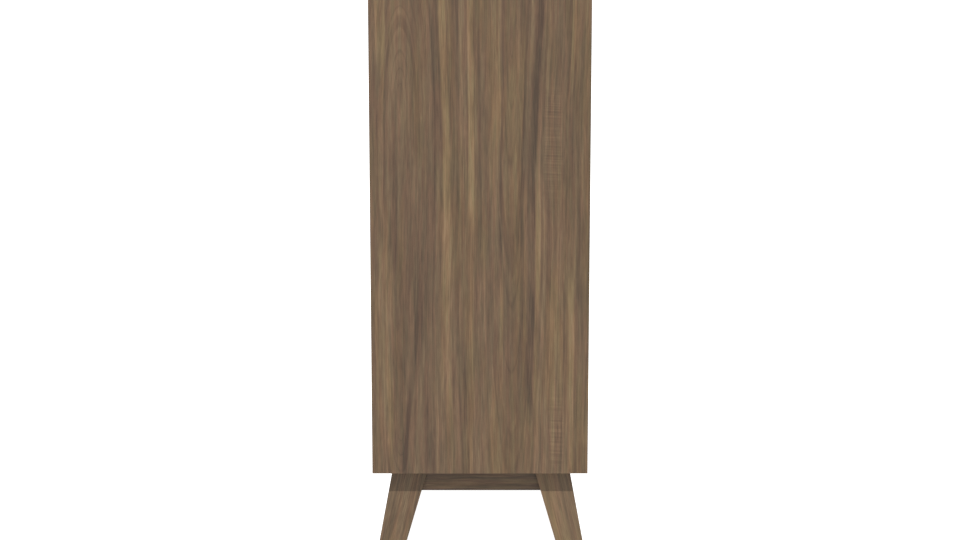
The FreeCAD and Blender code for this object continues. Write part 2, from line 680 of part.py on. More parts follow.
def deflection_yoke():
    """Coil ring over the start of the neck."""
    profile = [(62, 54), (78, 54), (80, 58), (80, 66), (50, 96), (24, 100), (24, 112),
               (NECK_RADIUS, 112), (NECK_RADIUS, 97), (24, 90)]
    ring = turned(TUBE_X, TUBE_Z, profile)
    ribs = []
    for i in range(8):
        turn = math.pi * i / 4
        spot = V(TUBE_X + 77 * math.cos(turn), 0, TUBE_Z + 77 * math.sin(turn))
        ribs.append(rod(4, V(spot.x, 54, spot.z), V(spot.x, 70, spot.z)))
    return joined([ring] + ribs)


def tube_socket():
    pin_room = 2.0
    body = along_y(SOCKET_RADIUS, TUBE_X, TUBE_Z, NECK_END, SOCKET_END)
    tab = box(TUBE_X - 6, TUBE_X + 6, NECK_END + pin_room, SOCKET_END - pin_room,
              TUBE_Z - SOCKET_RADIUS - 9, TUBE_Z)
    return joined([body, tab])


def funnel_outside():
    return oval_loft(TUBE_X, TUBE_Z, FUNNEL_SECTIONS)


def anode_lead():
    """High-voltage lead from the line output cage to the rubber cap on the tube's flank."""
    wire_radius, bend = 2.6, 38.0
    (ya, wa), (yb, wb) = [section[:2] for section in FUNNEL_SECTIONS[2:4]]
    along = V(wa - wb, yb - ya, 0).normalize()
    outward = V(-along.y, along.x, 0)
    spot = V(TUBE_X - (wa + wb) / 2, (ya + yb) / 2, TUBE_Z)
    start = V(0, 0, TV_FLOOR + TRAY_HEIGHT + CAGE_HEIGHT)
    corner = spot + outward * ((CAGE_Y[0] + 45 - spot.y) / outward.y)
    start.x, start.y = corner.x, corner.y
    rise, run = corner - Z_AXIS * bend, corner - outward * bend
    middle = corner - (Z_AXIS + outward) * (bend * (1 - math.sqrt(0.5)))
    path = Part.Wire([Part.LineSegment(start, rise).toShape(), Part.Arc(rise, middle, run).toShape(),
                      Part.LineSegment(run, spot + outward * 6).toShape()])
    section = Part.Wire(Part.makeCircle(wire_radius, start, Z_AXIS))
    lead = path.makePipeShell([section], True, False)
    cap = Part.makeCone(16, 5, 15, spot - outward * 5, outward)
    return joined([lead, cap]).cut(funnel_outside())


# Screen mask.


def screen_mask():
    """Moulded surround: flat rim with returned edges and a tapered collar to the glass."""
    x0, x1 = MASK_X
    z0, z1 = TV_FLOOR, TV_TOP - FIT
    y0 = MASK_FRONT
    rim = box(x0, x1, y0, MASK_SKIRT_BACK, z0, z1)
    rim = rim.cut(box(x0 + MASK_WALL, x1 - MASK_WALL, y0 + MASK_WALL, MASK_SKIRT_BACK + 1,
                      z0 + MASK_WALL, z1 - MASK_WALL))
    opening = ((y0, *MASK_OPENING, TUBE_SQUARENESS), (MASK_COLLAR_BACK, *SCREEN_HALF, TUBE_SQUARENESS))
    hollow = oval_loft(TUBE_X, TUBE_Z, opening)
    thick = [(y, w + MASK_WALL, h + MASK_WALL, n) for y, w, h, n in opening]
    bosses = [along_y(BOSS_RADIUS, x, z, y0 + MASK_WALL, BAND_FRONT) for x, z in lug_spots()]
    mask = joined([rim, oval_loft(TUBE_X, TUBE_Z, thick)] + bosses).cut(hollow)
    clearance = 0.6
    tube = oval_prism(TUBE_X, TUBE_Z, grow(TUBE_HALF, clearance), TUBE_SQUARENESS, y0, MASK_COLLAR_BACK + 40)
    mask = mask.cut(tube.common(tube_ball(clearance)))
    for x, z in lug_spots():
        mask = mask.cut(along_y(PILOT_RADIUS, x, z, BAND_FRONT - 16, BAND_FRONT + 1))
    return mask.cut(front_screw_holes())


def front_screw_holes():
    return [rod(PILOT_RADIUS, V(x, y, TV_FLOOR - 1), V(x, y, TV_FLOOR + 8)) for x, y in front_screws()]


# Controls.


def small_controls():
    """Position (x, z) of each knob that turns a spindle unit behind the fascia."""
    return {
        "uhf_knob": (CONTROL_X, UHF_Z),
        "volume_knob": (CONTROL_X, VOLUME_Z),
        "brightness_knob": (CONTROL_X - PICTURE_SPREAD, PICTURE_Z),
        "contrast_knob": (CONTROL_X + PICTURE_SPREAD, PICTURE_Z),
    }


def key_spots():
    return [CONTROL_X + i * KEY_SPREAD for i in (-1, 0, 1)]


def control_fascia():
    x0, x1 = FASCIA_X
    z0, z1 = TV_FLOOR, TV_TOP - FIT
    y0, plate = FASCIA_FRONT, FASCIA_PLATE
    tray = box(x0, x1, y0, y0 + FASCIA_DEPTH, z0, z1)
    tray = tray.cut(box(x0 + plate, x1 - plate, y0 + plate, y0 + FASCIA_DEPTH + 1, z0 + plate, z1 - plate))
    cuts = [along_y(FASCIA_HOLE, x, z, y0 - 1, y0 + plate + 1) for x, z in small_controls().values()]
    cuts.append(along_y(SLEEVE_RADIUS + 0.5, CONTROL_X, CHANNEL_Z, y0 - 1, y0 + plate + 1))
    w, h = KEY_SIZE[0] / 2 + FIT, KEY_SIZE[1] / 2 + FIT
    cuts += [box(x - w, x + w, y0 - 1, y0 + plate + 1, KEY_Z - h, KEY_Z + h) for x in key_spots()]
    w, h = DIAL_WINDOW
    cuts.append(box(CONTROL_X - w, CONTROL_X + w, y0 - 1, y0 + plate + 1, DIAL_Z - h, DIAL_Z + h))
    return tray.cut(cuts + front_screw_holes())


def fluted(x, z, radius, y0, y1, skirt, flutes):
    """Knob body with a wider skirt, finger flutes and a pointer groove on top."""
    step = y1 - 4.0
    profile = [(0, y0), (radius - 1.5, y0), (radius, y0 + 1.5), (radius + 0.6, step),
               (skirt - 0.8, step), (skirt, step + 0.8), (skirt, y1), (0, y1)]
    knob = turned(x, z, profile)
    cuts = []
    for i in range(flutes):
        turn = 2 * math.pi * i / flutes
        cuts.append(along_y(0.9, x + (radius + 0.6) * math.cos(turn), z + (radius + 0.6) * math.sin(turn),
                            y0 - 1, step))
    cuts.append(box(x - 0.7, x + 0.7, y0 - 1, y0 + 0.8, z + radius * 0.35, z + radius + 1))
    return knob.cut(cuts)


def spindle_knob(x, z, radius, skirt, flutes):
    """Knob with its moulded spindle."""
    y1 = FASCIA_FRONT - 1.2
    knob = fluted(x, z, radius, KNOB_FRONT, y1, skirt, flutes)
    return joined([knob, along_y(SHAFT_RADIUS, x, z, y1 - 1, STUB_END)])


def control_units():
    """Spindle units for the small knobs, and the switch block for the keys."""
    y0 = FASCIA_FRONT + FASCIA_PLATE
    units = []
    for x, z in small_controls().values():
        body = along_y(POT_RADIUS, x, z, y0 + 4, y0 + POT_DEPTH)
        bush = along_y(5.0, x, z, y0, y0 + 4)
        tags = box(x - 7, x + 7, y0 + POT_DEPTH - 6, y0 + POT_DEPTH - 4, z - POT_RADIUS - 7, z)
        bore = along_y(SHAFT_RADIUS + RUNNING, x, z, y0 - 1, STUB_END + 0.5)
        units.append(joined([body, bush, tags]).cut(bore))
    reach, slack = KEY_SPREAD + 18, 0.4
    half = KEY_STEM + slack
    block = box(CONTROL_X - reach, CONTROL_X + reach, KEY_BLOCK[0], KEY_BLOCK[1], KEY_Z - 11, KEY_Z + 11)
    posts = [box(CONTROL_X + s * (reach + 3) - 4, CONTROL_X + s * (reach + 3) + 4, y0, KEY_BLOCK[1],
                 KEY_Z - 11, KEY_Z + 11) for s in (-1, 1)]
    bores = [box(x - half, x + half, KEY_BLOCK[0] - 1, KEY_BLOCK[1] - 4, KEY_Z - half, KEY_Z + half)
             for x in key_spots()]
    return group(units + [joined([block] + posts).cut(bores)])


def ring_back():
    return FASCIA_FRONT - 1.2


def fine_tuning_ring():
    """Outer ring and sleeve that turn round the channel shaft."""
    y1 = ring_back()
    ring = fluted(CONTROL_X, CHANNEL_Z, 33.0, y1 - 8.0, y1, 36.0, 36)
    sleeve = along_y(SLEEVE_RADIUS, CONTROL_X, CHANNEL_Z, y1 - 1, -149.5)
    bore = along_y(SHAFT_RADIUS + RUNNING, CONTROL_X, CHANNEL_Z, y1 - 10, -148)
    return joined([ring, sleeve]).cut(bore)


def channel_knob():
    y1 = ring_back() - 8.6
    knob = fluted(CONTROL_X, CHANNEL_Z, 23.0, KNOB_FRONT, y1, 26.0, 24)
    return knob.cut(along_y(SHAFT_RADIUS, CONTROL_X, CHANNEL_Z, y1 - 9, y1 + 1))


def tuner_turret():
    """Channel shaft with its twelve-sided drum of coil strips."""
    y1 = ring_back() - 8.6
    shaft = along_y(SHAFT_RADIUS, CONTROL_X, CHANNEL_Z, y1 - 9, TUNER_Y[1] + 2)
    drum_radius, y0, y2 = 26.0, -142.0, -70.0
    corners = []
    for i in range(12):
        turn = 2 * math.pi * (i + 0.5) / 12
        across, up = drum_radius * math.cos(turn), drum_radius * math.sin(turn)
        corners.append(V(CONTROL_X + across, y0, CHANNEL_Z + up))
    drum = prism(corners, V(0, y2 - y0, 0))
    strips = []
    for i in range(12):
        turn = 2 * math.pi * i / 12
        reach = drum_radius * math.cos(math.pi / 12)
        spot = V(CONTROL_X + reach * math.cos(turn), y0, CHANNEL_Z + reach * math.sin(turn))
        strips.append(rod(1.6, V(spot.x, y0 + 6, spot.z), V(spot.x, y2 - 6, spot.z)))
    return joined([shaft, drum] + strips)


def tuner_box():
    (y0, y1), half, steel = TUNER_Y, 34.0, 1.2
    x, z = CONTROL_X, CHANNEL_Z
    case = box(x - half, x + half, y0, y1, z - half, z + half)
    case = case.cut(box(x - half + steel, x + half - steel, y0 + steel, y1 - steel,
                        z - half + steel, z + half - steel))
    front_hole = along_y(SLEEVE_RADIUS + RUNNING, x, z, y0 - 4, y0 + steel + 1)
    rear_hole = along_y(SHAFT_RADIUS + RUNNING, x, z, y1 - steel - 4.8, y1 + 1)
    bushes = [along_y(6.0, x, z, y1 - steel - 3, y1), along_y(9.0, x, z, y0 - 3, y0 + steel)]
    brackets = [box(x - half - 12, x + half + 12, y0, y0 + steel, z - 10, z + 10)]
    brackets += [along_y(4.0, x + side * (half + 7), z, FASCIA_FRONT + FASCIA_PLATE, y0 + steel)
                 for side in (-1, 1)]
    return joined([case] + bushes + brackets).cut([front_hole, rear_hole])


def key(x):
    """Push key with a hidden foot that keeps it in the fascia."""
    w, h = KEY_SIZE[0] / 2, KEY_SIZE[1] / 2
    y0, y1 = FASCIA_FRONT - KEY_PROUD, FASCIA_FRONT + FASCIA_PLATE
    cap = box(x - w, x + w, y0, y1 + 1, KEY_Z - h, KEY_Z + h)
    front = [e for e in cap.Edges if abs(e.CenterOfMass.y - y0) < 0.01]
    cap = cap.makeFillet(2.0, front)
    foot = box(x - w - 2, x + w + 2, y1 + 0.3, y1 + 2.3, KEY_Z - h - 2, KEY_Z + h + 2)
    stem = box(x - KEY_STEM, x + KEY_STEM, y1 + 2, y1 + 15, KEY_Z - KEY_STEM, KEY_Z + KEY_STEM)
    return joined([cap, foot, stem])


def dial_scale():
    """Scale plate with the pointer's guide rod on two end posts."""
    w, h = DIAL_PLATE_HALF
    y1 = DIAL_PLATE_BACK
    y0 = y1 - DIAL_PLATE
    low = DIAL_Z - GUIDE_DROP
    plate = box(CONTROL_X - w, CONTROL_X + w, y0, y1, DIAL_Z - h, DIAL_Z + h)
    posts = []
    for side in (-1, 1):
        edges = sorted((CONTROL_X + side * w, CONTROL_X + side * (w - 2.5)))
        posts.append(box(edges[0], edges[1], FASCIA_FRONT + FASCIA_PLATE, y1, low - 3, DIAL_Z + h))
    reach = w - 1
    guide = rod(GUIDE_RADIUS, V(CONTROL_X - reach, GUIDE_Y, low), V(CONTROL_X + reach, GUIDE_Y, low))
    return joined([plate, guide] + posts)


def dial_pointer():
    """Needle on its carriage, which slides on the guide rod."""
    low = DIAL_Z - GUIDE_DROP
    w, d, h = (size / 2 for size in CARRIAGE)
    block = box(CONTROL_X - w, CONTROL_X + w, GUIDE_Y - d, GUIDE_Y + d - 0.5, low - h, low + h)
    needle = box(CONTROL_X - 0.9, CONTROL_X + 0.9, GUIDE_Y - d, GUIDE_Y - d + 1.2, low, DIAL_Z + 9)
    ends = [V(CONTROL_X + s * 2 * w, GUIDE_Y, low) for s in (-1, 1)]
    bore = rod(GUIDE_RADIUS + RUNNING, *ends)
    return joined([block, needle]).cut(bore)


# Chassis.


def chassis_tray():
    """Pressed tray, open below, punched for the valves."""
    (x0, x1), (y0, y1) = TRAY_X, TRAY_Y
    z1 = TV_FLOOR + TRAY_HEIGHT
    tray = box(x0, x1, y0, y1, TV_FLOOR, z1)
    tray = tray.cut(box(x0 + SHEET_METAL, x1 - SHEET_METAL, y0 + SHEET_METAL, y1 - SHEET_METAL,
                        TV_FLOOR - 1, z1 - SHEET_METAL))
    punched = [rod(VALVE_RADIUS - 1.6, V(x, y, z1 - 5), V(x, y, z1 + 5)) for x, y in VALVE_SPOTS]
    (inlet_x, inlet_z), (w, h) = inlet_spot(), grow(INLET_HALF, FIT)
    punched.append(box(inlet_x - w, inlet_x + w, y1 - 3, y1 + 1, inlet_z - h, inlet_z + h))
    return tray.cut(punched)


def valves():
    """Glass valves on their sockets."""
    z1 = TV_FLOOR + TRAY_HEIGHT
    made = []
    for i, (x, y) in enumerate(VALVE_SPOTS):
        height = VALVE_HEIGHT + 8 * (i % 3)
        socket = rod(VALVE_RADIUS - 2, V(x, y, z1 - 8), V(x, y, z1))
        skirt = rod(13, V(x, y, z1), V(x, y, z1 + 4))
        glass = rod(VALVE_RADIUS, V(x, y, z1 + 4), V(x, y, z1 + 4 + height))
        top = [e for e in glass.Edges if abs(e.CenterOfMass.z - z1 - 4 - height) < 0.01]
        glass = glass.makeFillet(VALVE_RADIUS * 0.7, top)
        tip = Part.makeCone(3.0, 1.0, 5, V(x, y, z1 + 3.8 + height))
        made.append(joined([socket, skirt, glass, tip]))
    return group(made)


def mains_transformer():
    """Laminated core with its winding."""
    x, y = TRANSFORMER_CENTRE
    z = TV_FLOOR
    core = box(x - 45, x + 45, y - 20, y + 20, z, z + 76)
    windows = [box(x + s * 25 - 8, x + s * 25 + 8, y - 21, y + 21, z + 14, z + 62) for s in (-1, 1)]
    winding = box(x - 33, x + 33, y - 35, y + 35, z + 14, z + 62)
    vertical = [e for e in winding.Edges if abs(e.tangentAt(e.FirstParameter).z) > 0.9]
    winding = winding.makeFillet(9, vertical)
    feet = [box(x + s * 50 - 9, x + s * 50 + 9, y - 20, y + 20, z, z + 3) for s in (-1, 1)]
    return joined([core.cut(windows), winding] + feet)


def line_output_cage():
    """Screening can with ventilation holes in its lid."""
    (x0, x1), (y0, y1) = CAGE_X, CAGE_Y
    z0 = TV_FLOOR + TRAY_HEIGHT
    z1 = z0 + CAGE_HEIGHT
    wall = SHEET_METAL
    inside = box(x0 + wall, x1 - wall, y0 + wall, y1 - wall, z0 - 1, z1 - wall)
    can = box(x0, x1, y0, y1, z0, z1).cut(inside)
    holes = []
    for i in range(6):
        for j in range(2):
            x = x0 + 12 + i * (x1 - x0 - 24) / 5
            y = y0 + 14 + j * (y1 - y0 - 28)
            holes.append(rod(3, V(x, y, z1 - 5), V(x, y, z1 + 1)))
    return can.cut(holes)


def inlet_spot():
    """(x, z) of the mains inlet on the terminal plate."""
    return TERMINAL_X[1] - 34, sum(TERMINAL_Z) / 2


def terminal_plate():
    """Aerial screw terminals and the mains inlet, reached through the rear cover."""
    (x0, x1), (z0, z1) = TERMINAL_X, TERMINAL_Z
    y0 = TERMINAL_Y
    plate = box(x0, x1, y0, y0 + 2, z0, z1)
    (inlet_x, z), (w, h), wall = inlet_spot(), INLET_HALF, 3
    shroud = box(inlet_x - w, inlet_x + w, y0 - 14, y0 + 2, z - h, z + h)
    socket = box(inlet_x - w + wall, inlet_x + w - wall, y0 - 11, y0 + 3, z - h + wall, z + h - wall)
    pins = [along_y(2.0, inlet_x + s * 6, z, y0 - 12, y0 + 1) for s in (-1, 1)]
    posts = []
    for i in range(4):
        x = x0 + 16 + 15 * i
        posts.append(along_y(4.5, x, z, y0 + 1, y0 + 4.4).cut(
            box(x - 5, x + 5, y0 + 3.6, y0 + 5, z - 0.6, z + 0.6)))
    feet = [box(x, x + 8, TRAY_Y[1], y0 + 1, z0, z0 + 3) for x in (x0 + 4, x1 - 12)]
    return joined([joined([plate, shroud]).cut(socket)] + pins + posts + feet)


PARTS = {
    "end_panel_left": lambda: end_panel(-1),
    "end_panel_right": lambda: end_panel(1),
    "top_panel": top_panel,
    "bottom_panel": bottom_panel,
    "tv_shelf": tv_shelf,
    "storage_shelf": storage_shelf,
    "rear_cover": rear_cover,
    "storage_back": storage_back,
    "leg_front_left": lambda: leg(-1, -1),
    "leg_front_right": lambda: leg(1, -1),
    "leg_rear_left": lambda: leg(-1, 1),
    "leg_rear_right": lambda: leg(1, 1),
    "end_rails": lambda: group([end_rail(-1), end_rail(1)]),
    "long_rails": lambda: group([long_rail(-1), long_rail(1)]),
    "corner_blocks": corner_blocks,
    "foot_glides": foot_glides,
    "fixing_screws": fixing_screws,
    "door_left": lambda: door(-1),
    "door_right": lambda: door(1),
    "door_pull_left": lambda: door_pull(-1),
    "door_pull_right": lambda: door_pull(1),
    "hinge_frame_leaves": hinge_frame_leaves,
    "hinge_leaves_left_door": lambda: hinge_door_leaves(-1),
    "hinge_leaves_right_door": lambda: hinge_door_leaves(1),
    "hinge_pins": hinge_pins,
    "hinge_screws_left_door": lambda: hinge_screws(-1),
    "hinge_screws_right_door": lambda: hinge_screws(1),
    "ball_catches": ball_catches,
    "grille_slats": grille_slats,
    "grille_cloth": grille_cloth,
    "speaker_baffle": speaker_baffle,
    "speaker_frames": speaker_frames,
    "speaker_cones": speaker_cones,
    "tube_faceplate": tube_faceplate,
    "tube_funnel": tube_funnel,
    "tube_band": tube_band,
    "deflection_yoke": deflection_yoke,
    "tube_socket": tube_socket,
    "anode_lead": anode_lead,
    "screen_mask": screen_mask,
    "control_fascia": control_fascia,
    "channel_knob": channel_knob,
    "fine_tuning_ring": fine_tuning_ring,
    "tuner_turret": tuner_turret,
    "tuner_box": tuner_box,
    "uhf_knob": lambda: spindle_knob(*small_controls()["uhf_knob"], 17.0, 19.5, 20),
    "volume_knob": lambda: spindle_knob(*small_controls()["volume_knob"], 17.0, 19.5, 20),
    "brightness_knob": lambda: spindle_knob(*small_controls()["brightness_knob"], 12.0, 14.0, 16),
    "contrast_knob": lambda: spindle_knob(*small_controls()["contrast_knob"], 12.0, 14.0, 16),
    "control_units": control_units,
    "power_key": lambda: key(key_spots()[0]),
    "band_key": lambda: key(key_spots()[1]),
    "tone_key": lambda: key(key_spots()[2]),
    "dial_scale": dial_scale,
    "dial_pointer": dial_pointer,
    "chassis_tray": chassis_tray,
    "valves": valves,
    "mains_transformer": mains_transformer,
    "line_output_cage": line_output_cage,
    "terminal_plate": terminal_plate,
}


def main():
    os.makedirs("parts", exist_ok=True)
    for old in os.listdir("parts"):
        if old.endswith(".step"):
            os.remove(os.path.join("parts", old))
    for name, make in PARTS.items():
        shape = make()
        solids = shape.Solids
        state = "valid" if shape.isValid() else "INVALID"
        print(name, len(solids), "solid(s)", round(shape.Volume), "mm3", state)
        if len(solids) == 1:
            shape = solids[0]
        shape.exportStep(os.path.join("parts", name + ".step"))


main()
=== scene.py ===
"""Looks of the console television cabinet: materials, trims, dial printing, light and camera.

Everything is in metres, in the cabinet's own frame: X along the width, front towards -Y, Z up.
"""

import math

import bmesh
import bpy
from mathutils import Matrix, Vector


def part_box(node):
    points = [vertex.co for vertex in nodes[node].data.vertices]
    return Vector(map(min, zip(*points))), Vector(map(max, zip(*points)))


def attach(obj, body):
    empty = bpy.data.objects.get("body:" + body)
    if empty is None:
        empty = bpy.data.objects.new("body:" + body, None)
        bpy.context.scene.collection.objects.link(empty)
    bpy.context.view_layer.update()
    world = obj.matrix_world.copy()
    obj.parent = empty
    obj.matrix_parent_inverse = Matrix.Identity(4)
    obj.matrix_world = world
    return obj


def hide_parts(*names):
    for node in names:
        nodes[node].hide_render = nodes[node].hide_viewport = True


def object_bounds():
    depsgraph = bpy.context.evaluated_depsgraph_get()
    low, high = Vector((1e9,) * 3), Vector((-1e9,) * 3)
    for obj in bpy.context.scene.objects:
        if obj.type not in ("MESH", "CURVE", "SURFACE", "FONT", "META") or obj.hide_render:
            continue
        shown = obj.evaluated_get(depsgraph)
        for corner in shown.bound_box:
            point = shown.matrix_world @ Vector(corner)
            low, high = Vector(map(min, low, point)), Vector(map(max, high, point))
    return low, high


UP = Vector((0, 0, 1))
SIDEWAYS = Vector((1, 0, 0))
INWARDS = Vector((0, 1, 0))

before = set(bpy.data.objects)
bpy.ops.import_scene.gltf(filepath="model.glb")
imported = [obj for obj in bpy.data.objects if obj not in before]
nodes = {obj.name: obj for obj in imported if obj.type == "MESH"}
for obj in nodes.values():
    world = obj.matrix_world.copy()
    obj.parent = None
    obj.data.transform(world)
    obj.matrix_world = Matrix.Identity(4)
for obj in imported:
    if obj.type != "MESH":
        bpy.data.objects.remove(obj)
cad_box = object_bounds()
high = cad_box[1]

# Camera and light.
CAMERA_DISTANCE = 2.416  # from the right-hand end panel
CAMERA_HEIGHT = 0.864
CAMERA_DROP = math.radians(6.8)
SUN_HEIGHT = math.radians(58.1)
SUN_STRENGTH = 4.65
SKY = 1.0
HORIZON = 1.6  # as bright as the lit floor, so that glass and brass show no hard line there
HORIZON_REACH = 0.42  # sine of the height at which the sky has faded to its own brightness
SUN_WIDTH = math.radians(0.8)
FLOOR_SIZE = 30.0


# Shader helpers.


class Material:
    """A Principled material, with short calls for the nodes that feed it."""

    def __init__(self, name, roughness=0.5, metallic=0.0, specular=0.5):
        self.data = bpy.data.materials.new(name)
        self.data.use_nodes = True
        self.tree = self.data.node_tree
        self.shader = self.tree.nodes["Principled BSDF"]
        self.put("Roughness", roughness)
        self.put("Metallic", metallic)
        self.put("Specular IOR Level", specular)
        self.point = self.tree.nodes.new("ShaderNodeTexCoord").outputs["Object"]

    def put(self, socket, value):
        self.feed(self.shader.inputs[socket], value)
        return self

    def feed(self, socket, value):
        if isinstance(value, bpy.types.NodeSocket):
            self.tree.links.new(value, socket)
        else:
            socket.default_value = value

    def node(self, kind, **settings):
        made = self.tree.nodes.new("ShaderNode" + kind)
        for key, value in settings.items():
            setattr(made, key, value)
        return made

    def math(self, operation, a, b=0.0, clamp=False):
        made = self.node("Math", operation=operation, use_clamp=clamp)
        self.feed(made.inputs[0], a)
        self.feed(made.inputs[1], b)
        return made.outputs[0]

    def add(self, *values):
        total = values[0]
        for value in values[1:]:
            total = self.math("ADD", total, value)
        return total

    def times(self, a, b):
        return self.math("MULTIPLY", a, b)

    def dot(self, vector, direction):
        made = self.node("VectorMath", operation="DOT_PRODUCT")
        self.feed(made.inputs[0], vector)
        made.inputs[1].default_value = direction
        return made.outputs["Value"]

    def vector(self, x, y, z):
        made = self.node("CombineXYZ")
        for socket, value in zip(made.inputs, (x, y, z)):
            self.feed(socket, value)
        return made.outputs[0]

    def scaled(self, vector, factors):
        made = self.node("VectorMath", operation="MULTIPLY")
        self.feed(made.inputs[0], vector)
        made.inputs[1].default_value = factors
        return made.outputs[0]

    def noise(self, vector, scale=1.0, detail=2.0, roughness=0.5, distortion=0.0):
        made = self.node("TexNoise")
        self.feed(made.inputs["Vector"], vector)
        made.inputs["Scale"].default_value = scale
        made.inputs["Detail"].default_value = detail
        made.inputs["Roughness"].default_value = roughness
        made.inputs["Distortion"].default_value = distortion
        return made.outputs[0]

    def noise_line(self, value, detail=2.0, roughness=0.5):
        made = self.node("TexNoise", noise_dimensions="1D")
        self.feed(made.inputs["W"], value)
        made.inputs["Scale"].default_value = 1.0
        made.inputs["Detail"].default_value = detail
        made.inputs["Roughness"].default_value = roughness
        return made.outputs[0]

    def centred(self, value, gain):
        """Noise about zero, times gain."""
        return self.times(self.math("SUBTRACT", value, 0.5), gain)

    def remap(self, value, a, b, c=0.0, d=1.0, smooth=True):
        made = self.node("MapRange", interpolation_type="SMOOTHSTEP" if smooth else "LINEAR")
        self.feed(made.inputs["Value"], value)
        made.inputs["From Min"].default_value = a
        made.inputs["From Max"].default_value = b
        made.inputs["To Min"].default_value = c
        made.inputs["To Max"].default_value = d
        return made.outputs[0]

    def ramp(self, value, stops, interpolation="LINEAR"):
        """stops are (position, grey or colour)."""
        made = self.node("ValToRGB")
        band = made.color_ramp
        band.interpolation = interpolation
        while len(band.elements) < len(stops):
            band.elements.new(0.5)
        for element, (position, colour) in zip(band.elements, stops):
            element.position = position
            element.color = (*colour, 1) if isinstance(colour, tuple) else (colour, colour, colour, 1)
        self.feed(made.inputs[0], value)
        return made.outputs[0]

    def mix(self, factor, a, b, blend="MIX"):
        made = self.node("Mix", data_type="RGBA", blend_type=blend)
        self.feed(made.inputs[0], factor)
        for socket, value in ((made.inputs[6], a), (made.inputs[7], b)):
            self.feed(socket, (*value, 1) if isinstance(value, tuple) else value)
        return made.outputs[2]

    def bump(self, height, depth, strength=1.0):
        made = self.node("Bump")
        self.feed(made.inputs["Height"], height)
        made.inputs["Distance"].default_value = depth
        made.inputs["Strength"].default_value = strength
        self.put("Normal", made.outputs[0])
        return self


def srgb(red, green, blue):
    """Linear colour of an sRGB colour whose channels run from 0 to 255, all above 10."""
    return tuple(((v / 255 + 0.055) / 1.055) ** 2.4 for v in (red, green, blue))


# Wood.

GRILLE_RAIL = 0.011  # height of the grille frame's top and bottom rails
WALNUT_TONES = (
    (0.00, srgb(54, 41, 29)),
    (0.25, srgb(67, 52, 37)),
    (0.50, srgb(80, 63, 45)),
    (0.75, srgb(93, 75, 54)),
    (1.00, srgb(104, 86, 64)),
)
# Streaks of the right-hand end panel's veneer: middle across the board, half width, lighter or darker,
# lowest and highest point, and how far the streak moves across for each metre up.
END_STREAKS = (
    (-0.183, 0.011, 0.32, 0.95, 1.20, 0.00),
    (-0.188, 0.006, 0.12, 0.30, 0.56, 0.00),
    (-0.182, 0.004, 0.09, 0.70, 0.96, 0.00),
    (-0.171, 0.004, -0.12, 0.72, 1.20, 0.01),
    (-0.174, 0.009, 0.14, 0.22, 0.62, -0.02),
    (-0.160, 0.010, -0.20, 0.58, 0.88, 0.00),
    (-0.146, 0.018, -0.13, 0.19, 0.44, 0.00),
    (-0.138, 0.004, 0.10, 0.24, 0.44, 0.10),
    (-0.1275, 0.005, -0.20, 0.20, 0.50, 0.094),
    (-0.124, 0.042, -0.12, 0.44, 0.82, 0.00),
    (-0.113, 0.010, -0.12, 0.38, 0.52, 0.05),
    (-0.120, 0.011, -0.13, 0.78, 1.20, 0.00),
    (-0.095, 0.012, -0.12, 0.19, 0.42, 0.00),
    (-0.088, 0.004, -0.12, 0.50, 1.20, 0.00),
    (-0.080, 0.003, 0.20, 0.19, 0.32, 0.00),
    (-0.069, 0.008, 0.26, 0.66, 1.20, -0.02),
    (-0.067, 0.005, 0.14, 0.84, 0.95, 0.00),
    (-0.063, 0.011, 0.24, 0.34, 0.66, 0.00),
    (-0.048, 0.009, -0.11, 0.70, 1.20, 0.00),
    (-0.044, 0.003, 0.12, 0.19, 0.26, 0.00),
    (-0.036, 0.004, 0.12, 0.90, 1.20, 0.00),
    (-0.0205, 0.007, 0.34, 0.66, 1.20, -0.002),
    (-0.028, 0.004, -0.14, 0.26, 0.42, 0.00),
    (-0.017, 0.004, 0.18, 0.20, 0.56, 0.00),
    (0.008, 0.004, 0.12, 0.36, 0.56, 0.00),
    (-0.006, 0.006, -0.14, 0.46, 0.76, 0.01),
    (0.000, 0.012, -0.11, 0.72, 0.92, 0.00),
    (0.014, 0.009, -0.10, 0.50, 0.72, 0.00),
    (0.025, 0.011, 0.13, 0.74, 1.20, 0.00),
    (0.033, 0.010, 0.14, 0.17, 0.29, 0.00),
    (0.037, 0.004, 0.16, 0.32, 0.55, 0.00),
    (0.038, 0.003, -0.18, 0.58, 1.20, 0.01),
    (0.050, 0.004, -0.17, 0.40, 0.56, -0.03),
    (0.056, 0.008, 0.14, 0.84, 0.93, 0.00),
    (0.076, 0.004, -0.20, 0.32, 0.95, 0.02),
    (0.078, 0.012, -0.16, 1.00, 1.20, 0.00),
    (0.088, 0.004, -0.14, 0.74, 0.95, 0.02),
    (0.093, 0.006, 0.12, 0.94, 1.20, 0.00),
    (0.096, 0.009, -0.28, 0.32, 1.20, 0.025),
    (0.100, 0.005, 0.16, 0.17, 0.40, 0.01),
    (0.104, 0.006, 0.24, 0.50, 0.78, 0.022),
    (0.122, 0.007, -0.10, 0.46, 0.74, 0.01),
    (0.131, 0.005, 0.17, 0.22, 0.52, 0.00),
    (0.153, 0.004, -0.14, 0.34, 0.56, 0.00),
    (0.157, 0.004, -0.16, 0.93, 1.20, 0.00),
    (0.160, 0.012, -0.13, 0.70, 0.94, 0.00),
    (0.164, 0.004, 0.18, 0.92, 1.20, 0.00),
    (0.166, 0.006, 0.26, 0.19, 0.55, 0.00),
    (0.181, 0.008, -0.12, 0.42, 0.70, 0.00),
)
# Cross ripples of the same veneer: middle and half width, lowest and highest point, ripples per metre.
END_RIPPLES = ((0.133, 0.022, 0.72, 0.90, 240.0), (0.138, 0.018, 0.21, 0.33, 150.0))
FADE = 0.045  # length over which a streak fades at its ends


